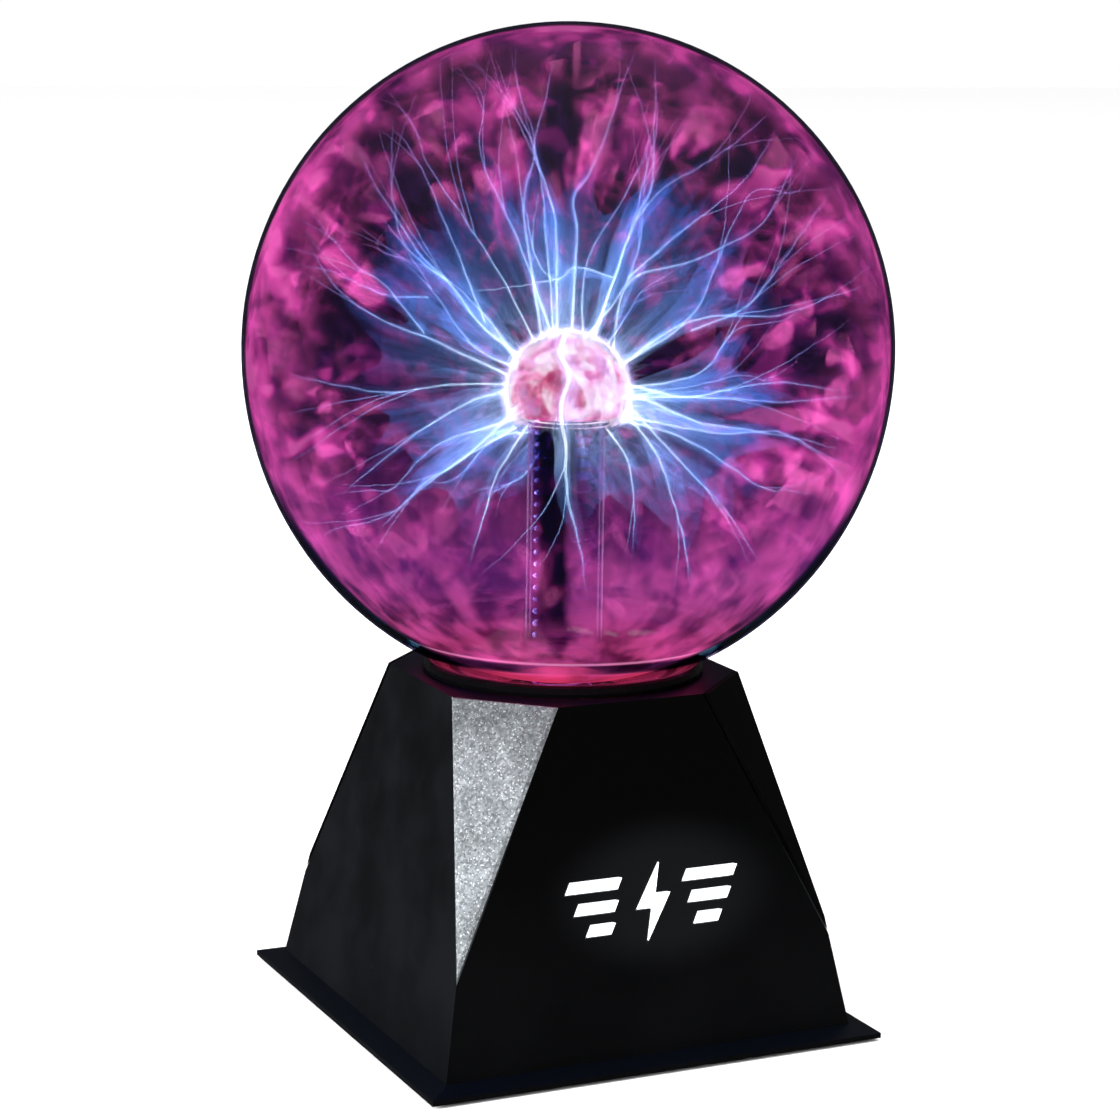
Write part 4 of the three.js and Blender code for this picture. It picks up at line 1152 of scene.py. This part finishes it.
def metal(name, colour, rough, stretch=(1, 1, 1)):
    """Metal with fine drawn or turned marks."""
    look = Look(name)
    marks = look.noise(look.vector("MULTIPLY", look.place(), stretch), 900.0, 3.0, 0.6)
    stain = look.noise(look.place(), 60.0, 3.0)
    dark = tuple(c * 0.72 for c in colour)
    return look.principled(
        Base_Color=look.mix(look.span(stain, 0.3, 0.7), dark, colour),
        Metallic=0.85,
        Roughness=look.span(marks, 0.3, 0.7, rough - 0.08, rough + 0.1),
        Normal=look.bump(marks, 0.25, 0.00005),
    )


def glitter_material():
    """Silver film full of small flakes of many tones, with painted glints on single flakes and painted shade
    that darkens it towards the top.
    """
    look = Look("silver_glitter")
    warp = look.noise(look.place(), 900.0, output="Color")
    where = look.vector("ADD", look.place(), look.scaled(warp, 0.0006))

    def cells(scale, channel):
        colours = look.node("TexVoronoi", "Color", {"Vector": where, "Scale": scale})
        return look.node("SeparateColor", channel, {0: colours})

    flake = cells(1500.0, 0)
    # Painted glints: single flakes turned near white.
    painted_glint = look.span(cells(2600.0, 1), 0.93, 0.97)
    cloud = look.noise(look.place(), 130.0, 3.0, 0.6)
    colour = look.ramp(
        look.math("ADD", look.times(flake, 0.62), look.times(cloud, 0.38)),
        (0.05, (0.13, 0.14, 0.155)), (0.35, (0.27, 0.285, 0.30)),
        (0.7, (0.42, 0.44, 0.46)), (0.95, (0.72, 0.75, 0.78)),
    )
    bright = look.mix(painted_glint, colour, (0.95, 0.97, 1.0))
    patch = look.span(look.noise(look.place(), 62.0, 3.0, 0.6), 0.36, 0.64, 0.80, 1.14)
    # Painted shade: darker towards the top of the panel, times uneven patches of tone.
    shade = look.times(look.span(look.height(), 0.110, 0.060, 0.31, 0.46), patch)
    bright = look.vector("MULTIPLY", look.scaled(bright, shade), (0.965, 1.01, 1.02))
    tilt = look.bump(flake, 0.5, 0.0004)
    return look.principled(Base_Color=bright, Roughness=0.42, Normal=tilt, Specular_IOR_Level=0.5)


def lit_mark_material():
    """White light guide lit from behind, a little unevenly."""
    look = Look("lit_mark")
    return look.principled(
        lamp=True,
        Base_Color=(0.95, 0.97, 1),
        Roughness=0.4,
        Emission_Color=look.mix(look.noise(look.place(), 90.0), (0.86, 0.93, 1.0), WHITE),
        Emission_Strength=1.15,
    )


def painted_neck_glow_share(look):
    """The share of the painted neck glow that is put here, most in the middle of the front and the rear."""
    return look.span(look.math("ABSOLUTE", look.across()), 0.034, 0.008, 0.22, 1.0)


def collar_material():
    """Glossy black ring with a paler dish, which gives off a painted pink glow of the globe's light."""
    look = Look("collar_gloss_painted_glow")
    outward = look.length(look.vector("MULTIPLY", look.place(), (1, 1, 0)))
    cloud = look.noise(look.place(), 70.0, 3.0)
    dish = look.mix(look.span(cloud, 0.35, 0.65), (0.006, 0.005, 0.006), (0.012, 0.010, 0.012))
    # Painted light: the dish gives off the globe's pink glow, most in the middle of the front and the rear.
    lit = look.times(look.span(outward, 0.0402, 0.0398), painted_neck_glow_share(look))
    return look.principled(
        Base_Color=look.mix(look.span(outward, 0.0405, 0.0395), (0.0012, 0.0012, 0.0015), dish),
        Roughness=look.span(cloud, 0.3, 0.7, 0.22, 0.3),
        Normal=look.grain(2600.0, 0.00002),
        Specular_IOR_Level=0.3,
        Emission_Color=look.scaled((0.62, 0.045, 0.14), lit),
        Emission_Strength=1.0,
    )


def gasket_material():
    """Grey silicone that gives off a painted glow of the neck it seals."""
    look = Look("neck_gasket_painted_glow")
    cloud = look.noise(look.place(), 60.0, 3.0)
    # Painted light: the silicone gives off the neck's pink glow, unevenly.
    lit = look.times(painted_neck_glow_share(look), look.span(cloud, 0.35, 0.65, 0.5, 1.0))
    return look.principled(
        Base_Color=(0.05, 0.05, 0.055),
        Roughness=look.span(cloud, 0.3, 0.7, 0.5, 0.65),
        Normal=look.grain(1500.0, 0.00005),
        Emission_Color=look.scaled((0.50, 0.035, 0.11), lit),
        Emission_Strength=1.0,
    )


def circuit_material():
    """Green solder resist with paler tracks."""
    look = Look("circuit_board")
    where = {"Vector": look.place(), "Scale": 260.0}
    tracks = look.node("TexVoronoi", "Distance", where, distance="CHEBYCHEV")
    lines = look.span(look.math("FRACT", look.times(tracks, 5.0)), 0.42, 0.5)
    colour = look.mix(lines, (0.012, 0.085, 0.03), (0.035, 0.19, 0.07))
    return look.principled(Base_Color=colour, Roughness=0.35, Normal=look.bump(lines, 0.3, 0.0001))


def base_material():
    """Satin black moulding, finely grained, paler in clouds towards the foot, with painted light: a paler
    left side, bluish upward faces, pale highlights on the lower corner edges and the lit mark's glow.
    """
    look = Look("black_moulded")
    cloud = look.noise(look.place(), 24.0, 4.0, 0.6)
    foot = look.span(look.height(), 0.085, 0.006)
    # Paler in soft clouds towards the foot.
    paler_foot = look.times(look.span(cloud, 0.3, 0.7, 0.5, 1.0), foot)
    tone = look.mix(paler_foot, (0.0009, 0.0010, 0.0012), (0.0022, 0.0024, 0.0030))
    normal = look.node("NewGeometry", "Normal")
    out_x, out_y, out_z = (look.node("SeparateXYZ", axis, {0: normal}) for axis in "XYZ")
    # Painted sheen: faces that look to the left are paler, in clouds, as if lit from that side.
    side = look.span(look.times(out_x, -1.0), 0.6, 0.9)
    sheen = look.times(side, look.span(cloud, 0.34, 0.66, 0.25, 1.0))
    tone = look.mix(sheen, tone, (0.0044, 0.0050, 0.0062))
    # Painted sheen: upward faces are bluish, as if lit by the sky.
    tone = look.mix(look.span(out_z, 0.9, 0.98), tone, (0.0012, 0.0022, 0.0046))
    across, along = (look.math("ABSOLUTE", part) for part in (out_x, out_y))
    # Painted highlight: a pale line along the lower corner edges.
    edge = look.times(look.span(look.math("MINIMUM", across, along), 0.30, 0.48), foot)
    return look.principled(
        Base_Color=look.mix(edge, tone, (0.060, 0.066, 0.070)),
        Roughness=look.span(cloud, 0.3, 0.7, 0.32, 0.42),
        Normal=look.grain(2600.0, 0.00004),
        Specular_IOR_Level=0.14,
        # Painted light: the face gives off the lit mark's glow around it.
        Emission_Color=spill_from_mark(look),
        Emission_Strength=1.0,
    )


def spill_from_mark(look):
    """Painted light: the glow that the lit mark spreads on the face around it, given off by the face."""
    low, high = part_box("badge_light_guide")
    middle = (low + high) / 2
    half = (high - low) / 2
    offset = look.away_from((middle.x + 4 * MM, low.y, middle.z + 3 * MM))
    flat = look.vector("DIVIDE", offset, (half.x + 9 * MM, 60 * MM, half.z + 12 * MM))
    return look.scaled((0.0065, 0.0068, 0.0078), look.span(look.length(flat), 1.0, 0.45))


def make_finishes():
    made = {
        "black_plastic": base_material(),
        "black_panel": moulded("black_panel", (0.0004, 0.0005, 0.0006), 0.36, level=0.06),
        "glitter": glitter_material(),
        "rubber": moulded("rubber_foot", (0.012, 0.012, 0.012), 0.72, 1500.0, 0.00008),
        "silicone": moulded("silicone_grey", (0.05, 0.05, 0.055), 0.6, 1500.0, 0.00005),
        "steel": metal("zinc_steel", (0.62, 0.62, 0.64), 0.34),
        "brass": metal("plain_brass", (0.70, 0.50, 0.20), 0.3),
        "aluminium": metal("plain_aluminium", (0.60, 0.61, 0.63), 0.36, (1, 1, 8)),
        "lining": metal("plain_lining", (0.5, 0.5, 0.52), 0.4),
        "circuit": circuit_material(),
        "ferrite": moulded("ferrite_core", (0.05, 0.05, 0.055), 0.6, 1200.0, 0.0001),
        "winding": moulded("winding_copper", (0.28, 0.10, 0.04), 0.3, 700.0, 0.0002, 0.5),
        "component": moulded("component_body", (0.016, 0.016, 0.018), 0.45),
        "capacitor": moulded("capacitor_sleeve", (0.03, 0.05, 0.16), 0.3, 900.0, 0.00004, 0.5),
        "white_plastic": moulded("lamp_white", (0.8, 0.82, 0.85), 0.35),
        "lit_mark": lit_mark_material(),
        "red_wire": moulded("red_sleeve", (0.36, 0.025, 0.025), 0.5, 900.0, 0.00003),
        "grey_wire": moulded("grey_sleeve", (0.16, 0.16, 0.17), 0.5, 900.0, 0.00003),
        "dial": moulded("dial_black", (0.011, 0.011, 0.012), 0.42, 1800.0, 0.00006),
        "glass": moulded("spare_glass", (0.7, 0.75, 0.8), 0.1),
    }
    special = {"globe_collar": collar_material(), "neck_gasket": gasket_material()}
    for name, obj in nodes.items():
        give(obj, special.get(name) or made[SLOT_OF[name]])
    soften("base_shell", 0.6 * MM, 3)
    soften("globe_collar", 0.25 * MM, 2)
    for name in ("sensitivity_dial", "mode_switch_slider", "bottom_plate"):
        soften(name, 0.2 * MM, 2)


def soften(name, width, segments):
    """Rounds a CAD node's sharp edges for looks only."""
    bevel = nodes[name].modifiers.new("soft_edges", "BEVEL")
    bevel.width = width
    bevel.segments = segments
    bevel.limit_method = "ANGLE"
    bevel.angle_limit = math.radians(32)
    bevel.harden_normals = True


make_camera()
make_stage()
make_finishes()
make_globe()
make_electrode()
make_lining()
make_spring()
make_gas_glow()
make_plumes()
make_rim()
make_clouds()
make_discharge()
make_corona()
